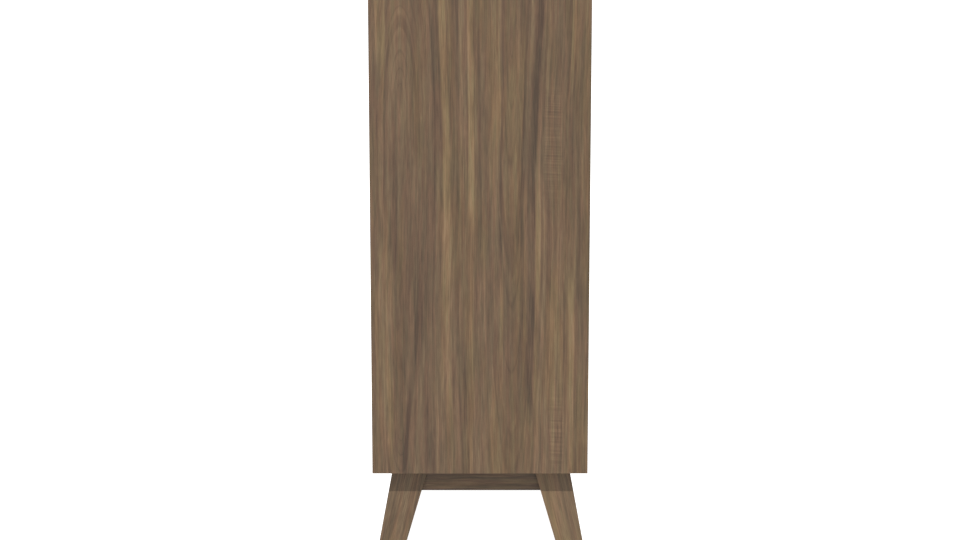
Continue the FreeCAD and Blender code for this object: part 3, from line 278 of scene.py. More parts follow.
def walnut(name, along, across, seed=0.0, hearts=(), streaks=(), ripples=(), shade=0.0, strength=1.0,
           upright=None):
    """Walnut with its grain along one direction.

    hearts are the arched figures of a plain-sawn board: (place across, lowest and highest point between
    which the rings stay open, how fast they close beyond). Each rules up to half-way to the next.
    upright is (middle, half length) of a frame's upright parts: its rails, beyond them, have their
    grain across.
    """
    m = Material(name, specular=0.25)
    depth = along.cross(across)
    a = m.dot(m.point, along)
    b = m.dot(m.point, across)
    c = m.dot(m.point, depth)
    if upright:
        on_rail = m.math("GREATER_THAN", m.math("ABSOLUTE", m.math("SUBTRACT", a, upright[0])), upright[1])
        turned = m.times(m.math("SUBTRACT", b, a), on_rail)
        a, b = m.add(a, turned), m.math("SUBTRACT", b, turned)
    slow = m.vector(m.times(a, 2.6), m.math("ADD", m.times(b, 6.0), seed), m.times(c, 6.0))
    b = m.add(b, m.centred(m.noise(slow, detail=2.0, roughness=0.45), 0.018))

    def across_board(pitch, stretch, offset=0.0):
        """Noise space whose features are pitch per metre across and stretch times longer along."""
        side = m.math("ADD", m.times(b, pitch), seed + offset)
        return m.vector(m.times(a, pitch / stretch), side, m.times(c, pitch))

    def span(lowest, highest):
        """1 between two points along the grain, fading out at both."""
        fade_in = m.remap(a, lowest - FADE, lowest + FADE)
        return m.times(fade_in, m.remap(a, highest - FADE, highest + FADE, 1.0, 0.0))

    rings = b
    for i, (place, lowest, highest, closing) in enumerate(hearts):
        off = m.math("SUBTRACT", b, place)
        beyond = m.math("MAXIMUM", m.math("SUBTRACT", lowest, a), m.math("SUBTRACT", a, highest))
        deep = m.math("MAXIMUM", m.times(beyond, closing), 0.002)
        reach = m.math("SQRT", m.add(m.times(off, off), m.times(deep, deep)))
        if i == 0:
            rings = reach
        else:
            edge = (hearts[i - 1][0] + place) / 2
            share = m.remap(b, edge - 0.02, edge + 0.02)
            rings = m.add(m.times(rings, m.math("SUBTRACT", 1.0, share)), m.times(reach, share))
    rings = m.add(rings, m.times(c, 0.6), seed)

    veins = m.noise(across_board(24.0, 14.0), detail=4.8, roughness=0.86)
    fibres = m.noise(across_board(640.0, 40.0), detail=1.0)
    bands = m.noise_line(m.times(rings, 120.0), detail=2.0, roughness=0.7)
    lines = m.math("ABSOLUTE", m.centred(m.noise_line(m.times(rings, 95.0), detail=1.0), 2.0))
    threads = m.noise(across_board(170.0, 13.0, 3.0), detail=2.6, roughness=0.7)
    flecks = m.noise(across_board(420.0, 8.0, 5.0), detail=1.5, roughness=0.6)
    tone = m.add(m.centred(veins, 1.14 * strength), m.centred(bands, 0.36 * strength),
                 m.centred(flecks, 0.30 * strength),
                 m.centred(threads, 0.84 * strength), m.centred(fibres, 0.26),
                 m.remap(lines, 0.0, 0.08, -0.15 * strength, 0.0), 0.5 + shade)
    patchy = m.remap(m.noise(across_board(60.0, 9.0, 11.0), detail=3.0), 0.30, 0.65, 0.55, 1.30)
    figure = 0.0
    for place, half, lift, lowest, highest, drift in streaks:
        level = m.math("ADD", m.times(a, -drift), drift * (lowest + highest) / 2 - place)
        off = m.math("ABSOLUTE", m.math("ADD", b, level))
        figure = m.add(figure, m.times(m.remap(off, half * 0.6, half, lift, 0.0), span(lowest, highest)))
    tone = m.add(tone, m.times(figure, patchy))
    for place, half, lowest, highest, pitch in ripples:
        waves = m.noise_line(m.times(m.add(a, m.times(b, 0.05)), pitch), detail=2.0, roughness=0.6)
        near = m.remap(m.math("ABSOLUTE", m.math("SUBTRACT", b, place)), half * 0.3, half, 0.55, 0.0)
        tone = m.add(tone, m.times(m.centred(waves, 1.0), m.times(near, span(lowest, highest))))
    colour = m.ramp(tone, WALNUT_TONES)
    tint = m.remap(m.noise(across_board(120.0, 14.0, 7.0), detail=3.0, roughness=0.7), 0.36, 0.64)
    colour = m.mix(1.0, colour, m.mix(tint, (1.05, 0.98, 0.985), (0.955, 1.015, 1.00)), "MULTIPLY")
    drift = m.noise(across_board(45.0, 10.0, 19.0), detail=3.0)
    warmth = m.remap(m.add(drift, m.times(figure, 0.5)), 0.36, 0.70)
    colour = m.mix(1.0, colour, m.mix(warmth, (1.0, 0.995, 1.05), (1.0, 1.005, 0.93)), "MULTIPLY")

    pores = m.remap(m.noise(across_board(1500.0, 22.0), detail=1.0), 0.30, 0.38, 1.0, 0.0)
    colour = m.mix(m.times(pores, 0.16), colour, srgb(48, 37, 28))
    m.put("Base Color", colour)
    m.put("Roughness", m.remap(fibres, 0.3, 0.7, 0.53, 0.42, smooth=False))
    m.bump(m.math("SUBTRACT", m.times(fibres, 0.5), pores), 0.00008, 0.3)
    return m.data


# Other materials.


def satin(name, colour, roughness, specular=0.5, grain=900.0, depth=0.00004, change=0.06):
    """Moulded plastic with a slight texture and uneven sheen."""
    m = Material(name, roughness, specular=specular)
    fine = m.noise(m.point, grain, detail=3.0)
    broad = m.noise(m.point, 14.0, detail=3.0)
    dark = tuple(v * (1 - 2 * change) for v in colour)
    m.put("Base Color", m.mix(m.remap(broad, 0.3, 0.7), dark, colour))
    m.put("Roughness", m.remap(broad, 0.3, 0.7, roughness + 0.05, roughness - 0.05))
    m.bump(fine, depth)
    return m.data


def brushed(name, colour, roughness, along, metallic=1.0):
    """Metal brushed along one direction."""
    m = Material(name, roughness, metallic)
    stretch = tuple(40.0 if abs(v) > 0.5 else 4200.0 for v in along)
    strokes = m.noise(m.scaled(m.point, stretch), detail=3.0, roughness=0.6)
    broad = m.noise(m.point, 22.0, detail=2.0)
    dark = tuple(v * 0.93 for v in colour)
    m.put("Base Color", m.mix(m.remap(strokes, 0.3, 0.7), dark, colour))
    wear = m.add(strokes, m.centred(broad, 0.6))
    m.put("Roughness", m.remap(wear, 0.3, 0.75, roughness + 0.08, roughness - 0.08))
    m.bump(strokes, 0.00002)
    return m.data


def spun(name, colour, roughness, centre):
    """Metal turned about a line along Y through a centre (x, z)."""
    m = Material(name, roughness, 1.0)
    flat = m.node("VectorMath", operation="SUBTRACT")
    m.feed(flat.inputs[0], m.scaled(m.point, (1, 0, 1)))
    flat.inputs[1].default_value = (centre[0], 0, centre[1])
    length = m.node("VectorMath", operation="LENGTH")
    m.feed(length.inputs[0], flat.outputs[0])
    grooves = m.noise_line(m.times(length.outputs["Value"], 3800.0), detail=2.0)
    dark = tuple(v * 0.88 for v in colour)
    m.put("Base Color", m.mix(m.remap(grooves, 0.35, 0.65), dark, colour))
    m.put("Roughness", m.remap(grooves, 0.3, 0.7, roughness + 0.07, roughness - 0.06))
    m.bump(grooves, 0.00003)
    return m.data


def hardboard(name):
    """Pressed wood fibre sheet."""
    m = Material(name, 0.75, specular=0.25)
    fibres = m.noise(m.scaled(m.point, (260, 260, 520)), detail=5.0, roughness=0.7, distortion=1.2)
    broad = m.noise(m.point, 7.0, detail=3.0)
    colour = m.ramp(m.add(m.times(fibres, 0.7), m.times(broad, 0.3)),
                    ((0.28, srgb(74, 52, 37)), (0.5, srgb(104, 75, 53)), (0.72, srgb(131, 99, 71))))
    m.put("Base Color", colour)
    m.bump(fibres, 0.0002, 0.6)
    return m.data


def plywood(name, along):
    m = Material(name, 0.6, specular=0.3)
    stretch = tuple(5.0 if abs(v) > 0.5 else 130.0 for v in along)
    grain = m.noise(m.scaled(m.point, stretch), detail=4.0, roughness=0.6, distortion=0.4)
    tones = ((0.3, srgb(134, 103, 68)), (0.5, srgb(160, 127, 87)), (0.7, srgb(181, 150, 108)))
    m.put("Base Color", m.ramp(grain, tones))
    m.bump(grain, 0.0001, 0.5)
    return m.data


def face_glass(name, centre):
    """Grey face glass over unlit phosphor, darker towards its rim."""
    m = Material(name, 0.35)
    x = m.math("DIVIDE", m.math("SUBTRACT", m.dot(m.point, SIDEWAYS), centre[0]), GLASS_HALF[0])
    z = m.math("DIVIDE", m.math("SUBTRACT", m.dot(m.point, UP), centre[1]), GLASS_HALF[1])
    edge = m.math("MAXIMUM", m.math("ABSOLUTE", x), m.math("ABSOLUTE", z))
    grain = m.centred(m.noise(m.point, 2400.0, detail=1.0), 0.10)
    tones = ((0.0, srgb(92, 99, 94)), (0.7, srgb(74, 82, 78)), (0.97, srgb(38, 43, 41)))
    m.put("Base Color", m.ramp(m.add(edge, grain), tones))
    m.put("Coat Weight", 1.0)
    m.put("Coat Roughness", 0.04)
    m.put("Coat IOR", 1.52)
    m.put("Roughness", m.remap(grain, -0.03, 0.03, 0.32, 0.40))
    return m.data


def dark_glass(name, colour, roughness=0.12):
    """Coated or silvered glass of tube cones and valves."""
    m = Material(name, roughness)
    cloud = m.noise(m.point, 16.0, detail=4.0)
    m.put("Base Color", m.mix(m.remap(cloud, 0.35, 0.65), tuple(v * 0.6 for v in colour), colour))
    m.put("Roughness", m.remap(cloud, 0.35, 0.65, roughness, roughness + 0.25))
    m.put("Coat Weight", 0.6)
    m.put("Coat Roughness", 0.08)
    return m.data


def valve_glass(name):
    """Clear valve glass with its silvered top."""
    m = Material(name, 0.05)
    height = m.dot(m.point, UP)
    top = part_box("valves")[1]
    silvered = m.remap(m.add(height, m.centred(m.noise(m.point, 60.0), 0.012)), top.z - 0.028, top.z - 0.018)
    m.put("Base Color", m.mix(silvered, srgb(70, 66, 58), srgb(150, 152, 152)))
    m.put("Metallic", m.times(silvered, 0.9))
    m.put("Coat Weight", 1.0)
    m.put("Coat Roughness", 0.03)
    m.put("Roughness", m.remap(silvered, 0, 1, 0.10, 0.25))
    return m.data


def woven(name):
    """Grille cloth: oatmeal threads with painted shade in the dark brown low parts between them, and a gold
    thread.
    """
    m = Material(name, 0.8, specular=0.2)
    x, z = m.dot(m.point, SIDEWAYS), m.dot(m.point, UP)
    pitch = 0.0013  # from thread to thread
    gold_pitch = 9 * pitch
    warp = m.math("SINE", m.times(x, 2 * math.pi / pitch))
    weft = m.math("SINE", m.times(z, 2 * math.pi / pitch))
    over = m.math("SINE", m.times(m.add(m.math("ROUND", m.math("DIVIDE", x, pitch)),
                                        m.math("ROUND", m.math("DIVIDE", z, pitch))), math.pi / 2))
    warp_height = m.times(warp, m.remap(over, -1, 1, 0.3, 1))
    weft_height = m.times(weft, m.remap(over, -1, 1, 1, 0.3))
    height = m.math("MAXIMUM", warp_height, weft_height)
    slub = m.noise(m.vector(m.times(x, 8.0), 0.0, m.times(z, 420.0)), detail=3.0, roughness=0.6)
    gold_wave = m.math("ABSOLUTE", m.math("SINE", m.times(z, math.pi / gold_pitch)))
    gold = m.remap(gold_wave, 0.03, 0.10, 1.0, 0.0)
    colour = m.mix(m.remap(slub, 0.35, 0.65), srgb(119, 98, 70), srgb(172, 153, 118))
    # painted shade: the low parts of the weave, between the threads, are darkened towards dark brown
    colour = m.mix(m.remap(height, -1.0, 0.5, 0.75, 0.0), colour, srgb(52, 38, 26))
    colour = m.mix(m.times(gold, 0.8), colour, srgb(196, 160, 84))
    m.put("Base Color", colour)
    m.put("Metallic", m.times(gold, 0.5))
    m.put("Sheen Weight", 0.25)
    m.put("Sheen Roughness", 0.4)
    m.bump(height, 0.0002, 0.7)
    return m.data


def scale_print(name, centre, half):
    """Printed dial plate: ivory with a darker border."""
    m = Material(name, 0.35)
    x = m.math("ABSOLUTE", m.math("SUBTRACT", m.dot(m.point, SIDEWAYS), centre[0]))
    z = m.math("ABSOLUTE", m.math("SUBTRACT", m.dot(m.point, UP), centre[1]))
    side_rim = m.remap(x, half[0] - 0.006, half[0] - 0.0055)
    rim = m.math("MAXIMUM", side_rim, m.remap(z, half[1] - 0.0042, half[1] - 0.0038))
    aged = m.noise(m.point, 40.0, detail=4.0)
    paper = m.mix(m.remap(aged, 0.35, 0.65), srgb(214, 200, 160), srgb(230, 219, 184))
    m.put("Base Color", m.mix(rim, paper, srgb(74, 52, 30)))
    return m.data


def studio_floor(name):
    """Pale floor that stays almost white where the cabinet shades it."""
    m = Material(name, 0.9, specular=0.0)
    speck = m.noise(m.point, 3.0, detail=2.0)
    m.put("Base Color", m.mix(speck, (0.28, 0.28, 0.28), (0.30, 0.30, 0.30)))
    m.put("Emission Color", (1.0, 1.0, 1.0, 1.0))
    m.put("Emission Strength", 0.93)
    return m.data


# Mesh helpers.


def new_mesh(name, build, material, body="cabinet", smooth=30.0):
    """Object from a function that fills a bmesh; edges flatter than smooth degrees shade as one surface."""
    form = bmesh.new()
    build(form)
    bmesh.ops.recalc_face_normals(form, faces=form.faces)
    data = bpy.data.meshes.new(name)
    form.to_mesh(data)
    form.free()
    data.materials.append(material)
    made = bpy.data.objects.new(name, data)
    bpy.context.scene.collection.objects.link(made)
    data.shade_smooth()
    data.set_sharp_from_angle(angle=math.radians(smooth))
    if body:
        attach(made, body)
    return made


def superellipse(centre, half, exponent, y, count=160):
    points = []
    for i in range(count):
        turn = 2 * math.pi * (i + 0.5) / count
        c, s = math.cos(turn), math.sin(turn)
        reach = (abs(c) ** exponent + abs(s) ** exponent) ** (-1 / exponent)
        points.append(Vector((centre[0] + half[0] * reach * c, y, centre[1] + half[1] * reach * s)))
    return points


def swept_ring(form, path, section):
    """Closed ring: section is (outwards in the XZ plane, along Y) round each point of the path."""
    middle = sum(path, Vector()) / len(path)
    rings = []
    for before, here, after in zip(path[-1:] + path[:-1], path, path[1:] + path[:1]):
        tangent = (after - before).normalized()
        outward = tangent.cross(INWARDS).normalized()
        if outward.dot(here - middle) < 0:
            outward = -outward
        rings.append([form.verts.new(here + outward * u + INWARDS * v) for u, v in section])
    for ring, following in zip(rings, rings[1:] + rings[:1]):
        for i in range(len(section)):
            j = (i + 1) % len(section)
            form.faces.new((ring[i], ring[j], following[j], following[i]))


def lathe(form, centre, profile, steps=96):
    """Surface turned about a line along Y; profile is (radius, y) and may start or end on the line."""
    rings = []
    for radius, y in profile:
        if radius < 1e-7:
            rings.append([form.verts.new((centre[0], y, centre[1]))])
            continue
        turns = [2 * math.pi * i / steps for i in range(steps)]
        rings.append([form.verts.new((centre[0] + radius * math.cos(t), y, centre[1] + radius * math.sin(t)))
                      for t in turns])
    for a, b in zip(rings, rings[1:]):
        for i in range(steps):
            j = (i + 1) % steps
            corners = [a[i % len(a)], a[j % len(a)], b[j % len(b)], b[i % len(b)]]
            form.faces.new(list(dict.fromkeys(corners)))


def block(form, low_corner, high_corner):
    made = bmesh.ops.create_cube(form, size=1.0)
    size = Vector(high_corner) - Vector(low_corner)
    bmesh.ops.scale(form, vec=size, verts=made["verts"])
    bmesh.ops.translate(form, vec=(Vector(high_corner) + Vector(low_corner)) / 2, verts=made["verts"])


def paint(names, material):
    for name in names:
        data = nodes[name].data
        data.materials.clear()
        data.materials.append(material)


def ease_edges(names, width):
    """Small rounding on the edges of boards."""
    for name in names:
        weld = nodes[name].modifiers.new("weld", "WELD")
        weld.merge_threshold = 0.00002
        bevel = nodes[name].modifiers.new("eased", "BEVEL")
        bevel.width = width
        bevel.segments = 2
        bevel.limit_method = "ANGLE"
        bevel.angle_limit = math.radians(40)
        bevel.use_clamp_overlap = True
        bevel.harden_normals = False


def middle(name):
    a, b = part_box(name)
    return (a + b) / 2


# Case, doors and stand.

LEGS = (  # how light each leg's wood is, and how strong its figure
    ("leg_front_left", 0.04, 1.2),
    ("leg_front_right", 0.02, 1.30),
    ("leg_rear_left", 0.04, 1.2),
    ("leg_rear_right", 0.11, 0.85),
)


def dress_case():
    paint(["end_panel_right"], walnut("end_walnut_right", UP, INWARDS, seed=2.7,
                                      hearts=((-0.147, 0.30, 0.87, 0.18), (0.055, 1.10, 2.0, 0.055)),
                                      streaks=END_STREAKS, ripples=END_RIPPLES, strength=0.85))
    paint(["end_panel_left"], walnut("end_walnut_left", UP, INWARDS, seed=11.4,
                                     hearts=((-0.110, 0.40, 0.80, 0.12), (0.090, 1.2, 2.0, 0.06))))
    paint(["top_panel"], walnut("top_walnut", SIDEWAYS, INWARDS, seed=5.1,
                                hearts=((-0.06, 0.0, 0.2, 0.12), (0.13, -2.0, -0.2, 0.06))))
    paint(["bottom_panel"], walnut("bottom_walnut", SIDEWAYS, INWARDS, seed=8.3,
                                   hearts=((0.02, 0.0, 0.3, 0.08),)))
    paint(["tv_shelf", "storage_shelf"], walnut("shelf_walnut", SIDEWAYS, INWARDS, seed=14.9))
    grille_low, grille_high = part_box("grille_slats")
    upright = ((grille_low.z + grille_high.z) / 2, (grille_high.z - grille_low.z) / 2 - GRILLE_RAIL)
    paint(["grille_slats"], walnut("slat_walnut", UP, SIDEWAYS, seed=4.4, upright=upright))
    for side, sign in (("left", -1), ("right", 1)):
        paint(["door_" + side], walnut("door_walnut_" + side, UP, SIDEWAYS * sign, seed=21.5,
                                       hearts=((0.100, 0.0, 0.24, 0.16), (0.270, 0.56, 2.0, 0.14))))
    ease_edges(["end_panel_left", "end_panel_right", "top_panel", "bottom_panel", "tv_shelf",
                "storage_shelf", "door_left", "door_right"], 0.0006)


def dress_stand():
    for name, shade, strength in LEGS:
        points = [v.co for v in nodes[name].data.vertices]
        top_z = max(p.z for p in points)
        foot_z = min(p.z for p in points)
        top = [p for p in points if p.z > top_z - 0.001]
        foot = [p for p in points if p.z < foot_z + 0.001]
        along = (sum(top, Vector()) / len(top) - sum(foot, Vector()) / len(foot)).normalized()
        across = (INWARDS - along * INWARDS.dot(along)).normalized()
        place = middle(name)
        seed = 30.0 + 3.1 * place.y + place.x
        paint([name], walnut("walnut_" + name, along, across, seed=seed, shade=shade, strength=strength))
    paint(["end_rails"], walnut("end_rail_walnut", INWARDS, UP, seed=41.0, shade=-0.18, strength=1.2))
    paint(["long_rails"], walnut("long_rail_walnut", SIDEWAYS, UP, seed=47.0, shade=-0.02))
    ease_edges([name for name, shade, strength in LEGS] + ["end_rails", "long_rails"], 0.0007)
    paint(["corner_blocks"], plywood("block_wood", UP))
    paint(["foot_glides"], satin("glide_nylon", srgb(52, 48, 44), 0.45))


def dress_hardware():
    brass = brushed("brass", srgb(163, 138, 92), 0.30, UP)
    paint(["hinge_frame_leaves", "hinge_leaves_left_door", "hinge_leaves_right_door", "hinge_pins"], brass)
    paint(["ball_catches"], brass)
    for side in ("left", "right"):
        name = "door_pull_" + side
        place = middle(name)
        paint([name], spun("pull_brass_" + side, srgb(168, 142, 96), 0.26, (place.x, place.z)))
    paint(["fixing_screws", "hinge_screws_left_door", "hinge_screws_right_door"],
          brushed("screw_steel", srgb(168, 166, 160), 0.34, UP))


# Speaker bay.


def dress_speakers():
    paint(["speaker_baffle"], satin("baffle_paint", srgb(34, 31, 28), 0.8))
    paint(["speaker_frames"], brushed("speaker_steel", srgb(146, 146, 142), 0.42, INWARDS))
    paint(["speaker_cones"],
          satin("cone_paper", srgb(48, 44, 40), 0.9, specular=0.1, grain=500, depth=0.0002))
    cloth_low, cloth_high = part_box("grille_cloth")
    size = cloth_high - cloth_low

    def stretched(form):
        across, up = 96, 14
        grid = []
        for j in range(up + 1):
            row = []
            for i in range(across + 1):
                x = cloth_low.x + size.x * i / across
                z = cloth_low.z + size.z * j / up
                row.append(form.verts.new((x, cloth_low.y + size.y * 0.4, z)))
            grid.append(row)
        for below, above in zip(grid, grid[1:]):
            for i in range(across):
                form.faces.new((below[i], below[i + 1], above[i + 1], above[i]))

    cloth = new_mesh("grille_cloth_woven", stretched, woven("grille_weave"))
    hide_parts("grille_cloth")


# Picture tube and chassis.

GLASS_HALF = (0.25, 0.20)  # from the face's middle to where the shading ends
BEAD_HALF, BEAD_EXPONENT = (0.2655, 0.2095), 6.0  # the rounded rectangle that the screen's bead follows
BEAD_RADIUS = 0.0016


def dress_tube():
    face = middle("tube_faceplate")
    paint(["tube_faceplate"], face_glass("screen_glass", (face.x, face.z)))
    paint(["tube_funnel"], dark_glass("tube_graphite", srgb(44, 44, 46), 0.45))
    paint(["tube_band"], brushed("band_steel", srgb(130, 130, 128), 0.4, SIDEWAYS))
    paint(["screen_mask"], satin("mask_ivory", srgb(196, 184, 158), 0.38, grain=1400, change=0.02))
    paint(["deflection_yoke", "mains_transformer"],
          satin("varnished_winding", srgb(98, 54, 26), 0.3, change=0.15))
    paint(["tube_socket", "tuner_turret", "control_units", "terminal_plate"],
          satin("phenolic", srgb(84, 50, 30), 0.4, change=0.10))
    paint(["anode_lead"], satin("lead_rubber", srgb(40, 18, 16), 0.5))
    paint(["chassis_tray"], brushed("chassis_plate", srgb(150, 148, 138), 0.45, SIDEWAYS))
    paint(["line_output_cage", "tuner_box"], brushed("screening_can", srgb(186, 186, 184), 0.36, UP))
    paint(["valves"], valve_glass("valve_envelopes"))
    paint(["rear_cover", "storage_back"], hardboard("rear_hardboard"))

    brass = brushed("trim_brass", srgb(172, 147, 102), 0.24, UP)
    mask_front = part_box("screen_mask")[0].y
    turns = [t * math.pi / 4 for t in range(8)]
    bead = [(BEAD_RADIUS * math.cos(t), BEAD_RADIUS * math.sin(t)) for t in turns]
    opening = superellipse((face.x, face.z), BEAD_HALF, BEAD_EXPONENT, mask_front - 0.0004)
    new_mesh("screen_bead", lambda form: swept_ring(form, opening, bead), brass, smooth=60)


# Controls.

CHANNELS = [str(n) for n in range(2, 14)]
CHANNEL_RING = 0.0455  # radius of the circle of channel numbers
CHANNEL_SIZE = 0.0085
CHANNEL_STROKES = (0.0385, 0.0018)  # inner radius and length
SCALES = (  # knob, inner radius, length and number of its strokes
    ("volume_knob", 0.0225, 0.0030, 11),
    ("brightness_knob", 0.0160, 0.0030, 7),
    ("contrast_knob", 0.0160, 0.0030, 7),
)
KNOB_REACH = 150.0  # degrees each way that a scale's strokes cover
KNOBS = (  # node, body and cap radius
    ("channel_knob", "channel_selector", 0.0205),
    ("uhf_knob", "uhf_tuning", 0.0148),
    ("volume_knob", "volume", 0.0148),
    ("brightness_knob", "brightness", 0.0100),
    ("contrast_knob", "contrast", 0.0100),
)
INK = 0.0002  # how far a print stands off its plate
TICK_HALF = 0.0003  # half width of a stroke
DIAL_HALF, DIAL_THICKNESS = (0.057, 0.013), 0.0015
DIAL_MARKS, DIAL_PITCH, DIAL_REACH = 36, 0.0024, 0.042  # strokes, their spacing, the first one's place
DIAL_FOOT, SHORT_STROKE, LONG_STROKE = 0.0062, 0.0024, 0.0042  # foot is below the dial's middle
DIAL_NUMBER_SIZE, DIAL_NUMBER_RISE = 0.0052, 0.0036
WINDOW_HALF = (0.050, 0.010)
MARK_HALF = 0.0007  # half width of the bar on a knob's cap


def lettering(text, size, x, z, y):
    """Mesh of flat characters that face the front."""
    curve = bpy.data.curves.new("lettering", "FONT")
    curve.body = text
    curve.size = size
    curve.align_x = "CENTER"
    curve.align_y = "CENTER"
    shape = bpy.data.objects.new("lettering", curve)
    bpy.context.scene.collection.objects.link(shape)
    shape.rotation_euler = (math.pi / 2, 0, 0)
    shape.location = (x, y, z)
    bpy.context.view_layer.update()
    data = bpy.data.meshes.new_from_object(shape.evaluated_get(bpy.context.evaluated_depsgraph_get()))
    data.transform(shape.matrix_world)
    bpy.data.objects.remove(shape)
    return data


def joined_print(name, meshes, material):
    """One object from many flat prints."""
    form = bmesh.new()
    for data in meshes:
        form.from_mesh(data)
        bpy.data.meshes.remove(data)
    data = bpy.data.meshes.new(name)
    form.to_mesh(data)
    form.free()
    data.materials.append(material)
    made = bpy.data.objects.new(name, data)
    bpy.context.scene.collection.objects.link(made)
    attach(made, "cabinet")


def stroke_mesh(strokes):
    """Mesh of flat four-cornered strokes."""
    form = bmesh.new()
    for corners in strokes:
        form.faces.new([form.verts.new(c) for c in corners])
    data = bpy.data.meshes.new("strokes")
    form.to_mesh(data)
    form.free()
    return data


def scale_turns(count):
    """Angles from the top, clockwise, of a knob's scale strokes."""
    return [math.radians(KNOB_REACH * (2 * i / (count - 1) - 1)) for i in range(count)]


def ticks(name, y, radius, length, turns):
    """Radial strokes round a knob."""
    centre = Vector((middle(name).x, y, middle(name).z))
    strokes = []
    for turn in turns:
        out = Vector((math.sin(turn), 0, math.cos(turn)))
        side = Vector((math.cos(turn), 0, -math.sin(turn))) * TICK_HALF
        inner, outer = centre + out * radius, centre + out * (radius + length)
        strokes.append([inner - side, inner + side, outer + side, outer - side])
    return stroke_mesh(strokes)


def knob_cap(name, body, radius, mark):
    """Spun brass cap with a dark bar that shows where the knob points."""
    place, front = middle(name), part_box(name)[0].y
    centre = (place.x, place.z)
    profile = [(0.0, front - 0.0010), (radius * 0.25, front - 0.0009), (radius * 0.80, front - 0.0004),
               (radius * 0.84, front - 0.0012), (radius * 0.97, front - 0.0012), (radius, front - 0.0006),
               (radius, front + 0.0004)]
    new_mesh(name + "_cap", lambda form: lathe(form, centre, profile),
             spun(name + "_spun_cap", srgb(176, 152, 108), 0.22, centre), body)
    low_corner = (place.x - MARK_HALF, front - 0.0013, place.z + radius * 0.40)
    high_corner = (place.x + MARK_HALF, front, place.z + radius * 0.80)
    new_mesh(name + "_mark", lambda form: block(form, low_corner, high_corner), mark, body)


def print_fascia(face_y):
    """Channel numbers and scale strokes round the knobs."""
    ink = satin("ink_gold", srgb(206, 180, 128), 0.35)
    y = face_y - INK
    ring = middle("fine_tuning_ring")
    turns = [2 * math.pi * i / len(CHANNELS) for i in range(len(CHANNELS))]
    prints = [lettering(text, CHANNEL_SIZE, ring.x + CHANNEL_RING * math.sin(turn),
                        ring.z + CHANNEL_RING * math.cos(turn), y) for text, turn in zip(CHANNELS, turns)]
    prints.append(ticks("fine_tuning_ring", y, *CHANNEL_STROKES, turns))
    for name, radius, length, count in SCALES:
        prints.append(ticks(name, y, radius, length, scale_turns(count)))
    joined_print("fascia_print", prints, ink)


def dress_dial(face_y, brass):
    """Printed scale, its window frame and its clear window."""
    dial_low, dial_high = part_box("dial_scale")
    dial = Vector(((dial_low.x + dial_high.x) / 2, 0, dial_high.z - DIAL_HALF[1]))
    paint(["dial_scale"], scale_print("dial_plate", (dial.x, dial.z), DIAL_HALF))
    ink = satin("ink_brown", srgb(64, 42, 26), 0.5)
    y = dial_high.y - DIAL_THICKNESS - INK
    half = 0.00018
    foot = dial.z - DIAL_FOOT
    marks = []
    strokes = []
    for i in range(DIAL_MARKS):
        x = dial.x - DIAL_REACH + DIAL_PITCH * i
        numbered = i % 5 == 0
        if numbered:
            marks.append(lettering(str(14 + 2 * i), DIAL_NUMBER_SIZE, x, dial.z + DIAL_NUMBER_RISE, y))
        top = foot + (LONG_STROKE if numbered else SHORT_STROKE)
        strokes.append([(x - half, y, foot), (x + half, y, foot), (x + half, y, top), (x - half, y, top)])
    joined_print("dial_print", marks + [stroke_mesh(strokes)], ink)

    def window_frame(form):
        outer, inner, proud = 0.0026, -0.0004, 0.0012
        rings = []
        for grow, ring_y in ((outer, face_y), (outer, face_y - proud), (inner, face_y - proud),
                             (inner, face_y + 0.003)):
            half_x, half_z = WINDOW_HALF[0] + grow, WINDOW_HALF[1] + grow
            rings.append([form.verts.new((dial.x + sx * half_x, ring_y, dial.z + sz * half_z))
                          for sx, sz in ((-1, -1), (1, -1), (1, 1), (-1, 1))])
        for a, b in zip(rings, rings[1:]):
            for i in range(4):
                j = (i + 1) % 4
                form.faces.new((a[i], a[j], b[j], b[i]))

    new_mesh("dial_window_frame", window_frame, brass)

    def glazing(form):
        gap = 0.0004
        half_x, half_z = WINDOW_HALF[0] - gap, WINDOW_HALF[1] - gap
        block(form, (dial.x - half_x, face_y + 0.0008, dial.z - half_z),
              (dial.x + half_x, face_y + 0.0018, dial.z + half_z))

    clear = Material("dial_window_clear", 0.03)
    clear.put("Base Color", (0.97, 0.98, 0.97, 1.0))
    clear.put("Transmission Weight", 1.0)
    clear.put("IOR", 1.1)
    smear = clear.noise(clear.point, 90.0, detail=2.0)
    clear.put("Roughness", clear.remap(smear, 0.3, 0.7, 0.02, 0.06))
    new_mesh("dial_window", glazing, clear.data)


def dress_controls():
    a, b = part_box("control_fascia")  # its lowest and highest corner
    face_y = a.y
    paint(["control_fascia"], satin("fascia_brown", srgb(47, 39, 33), 0.42, grain=1600))
    black = satin("knob_black", srgb(33, 29, 27), 0.22, grain=1200, depth=0.00001)
    ivory = satin("key_ivory", srgb(222, 212, 184), 0.28, grain=1200, depth=0.00001, change=0.03)
    brass = brushed("fascia_brass", srgb(172, 147, 102), 0.24, UP)
    paint([name for name, body, radius in KNOBS], black)
    paint(["power_key", "band_key", "tone_key", "fine_tuning_ring"], ivory)
    paint(["dial_pointer"], satin("pointer_red", srgb(176, 38, 26), 0.3))
    for name, body, radius in KNOBS:
        knob_cap(name, body, radius, black)
    print_fascia(face_y)
    dress_dial(face_y, brass)

    def border(form):
        inset, wide, proud = 0.0055, 0.0016, 0.0008
        x0, x1, z0, z1 = a.x + inset, b.x - inset, a.z + inset, b.z - inset
        for lo, hi in (((x0, z0), (x1, z0 + wide)), ((x0, z1 - wide), (x1, z1)),
                       ((x0, z0 + wide), (x0 + wide, z1 - wide)), ((x1 - wide, z0 + wide), (x1, z1 - wide))):
            block(form, (lo[0], face_y - proud, lo[1]), (hi[0], face_y + 0.0002, hi[1]))

    new_mesh("fascia_border", border, brass)


# Floor, light and camera.


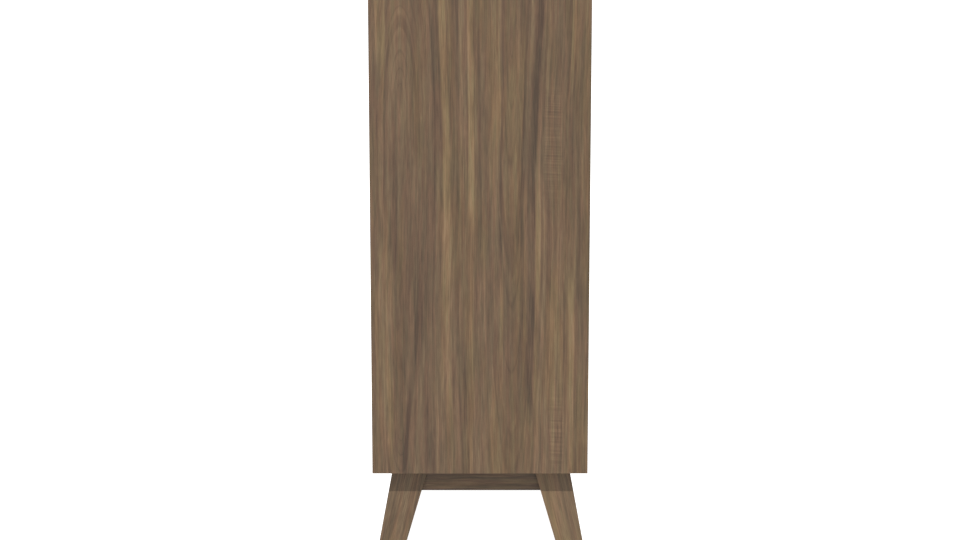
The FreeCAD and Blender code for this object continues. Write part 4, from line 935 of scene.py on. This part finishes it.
def build_stage():
    floor = new_mesh("studio_floor", lambda form: bmesh.ops.create_grid(form, size=FLOOR_SIZE),
                     studio_floor("floor_white"), body=None)
    world = bpy.data.worlds.new("studio")
    bpy.context.scene.world = world
    world.use_nodes = True
    background = world.node_tree.nodes["Background"]
    background.inputs["Color"].default_value = (1, 1, 1, 1)
    links = world.node_tree.links
    direction = world.node_tree.nodes.new("ShaderNodeTexCoord")
    parts = world.node_tree.nodes.new("ShaderNodeSeparateXYZ")
    fade = world.node_tree.nodes.new("ShaderNodeMapRange")
    fade.interpolation_type = "SMOOTHSTEP"
    fade.inputs["From Max"].default_value = HORIZON_REACH
    fade.inputs["To Min"].default_value = HORIZON
    fade.inputs["To Max"].default_value = SKY
    links.new(direction.outputs["Generated"], parts.inputs[0])
    links.new(parts.outputs["Z"], fade.inputs["Value"])
    links.new(fade.outputs[0], background.inputs["Strength"])
    sun = bpy.data.lights.new("sun", "SUN")
    sun.energy = SUN_STRENGTH
    sun.angle = SUN_WIDTH
    lamp = bpy.data.objects.new("sun", sun)
    towards_light = Vector((math.cos(SUN_HEIGHT), 0, math.sin(SUN_HEIGHT)))
    lamp.rotation_mode = "QUATERNION"
    lamp.rotation_quaternion = towards_light.to_track_quat("Z", "Y")
    bpy.context.scene.collection.objects.link(lamp)


def build_camera():
    data = bpy.data.cameras.new("camera")
    data.lens = 50
    data.sensor_width = 36
    camera = bpy.data.objects.new("camera", data)
    panel_low, panel_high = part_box("end_panel_right")
    camera.location = (high.x + CAMERA_DISTANCE, (panel_low.y + panel_high.y) / 2, CAMERA_HEIGHT)
    looking = Vector((-math.cos(CAMERA_DROP), 0, -math.sin(CAMERA_DROP)))
    camera.rotation_mode = "QUATERNION"
    camera.rotation_quaternion = looking.to_track_quat("-Z", "Y")
    bpy.context.scene.collection.objects.link(camera)
    bpy.context.scene.camera = camera
    bpy.context.scene.view_settings.view_transform = "Standard"
    bpy.context.scene.view_settings.look = "None"


build_camera()
build_stage()
dress_case()
dress_stand()
dress_hardware()
dress_speakers()
dress_tube()
dress_controls()
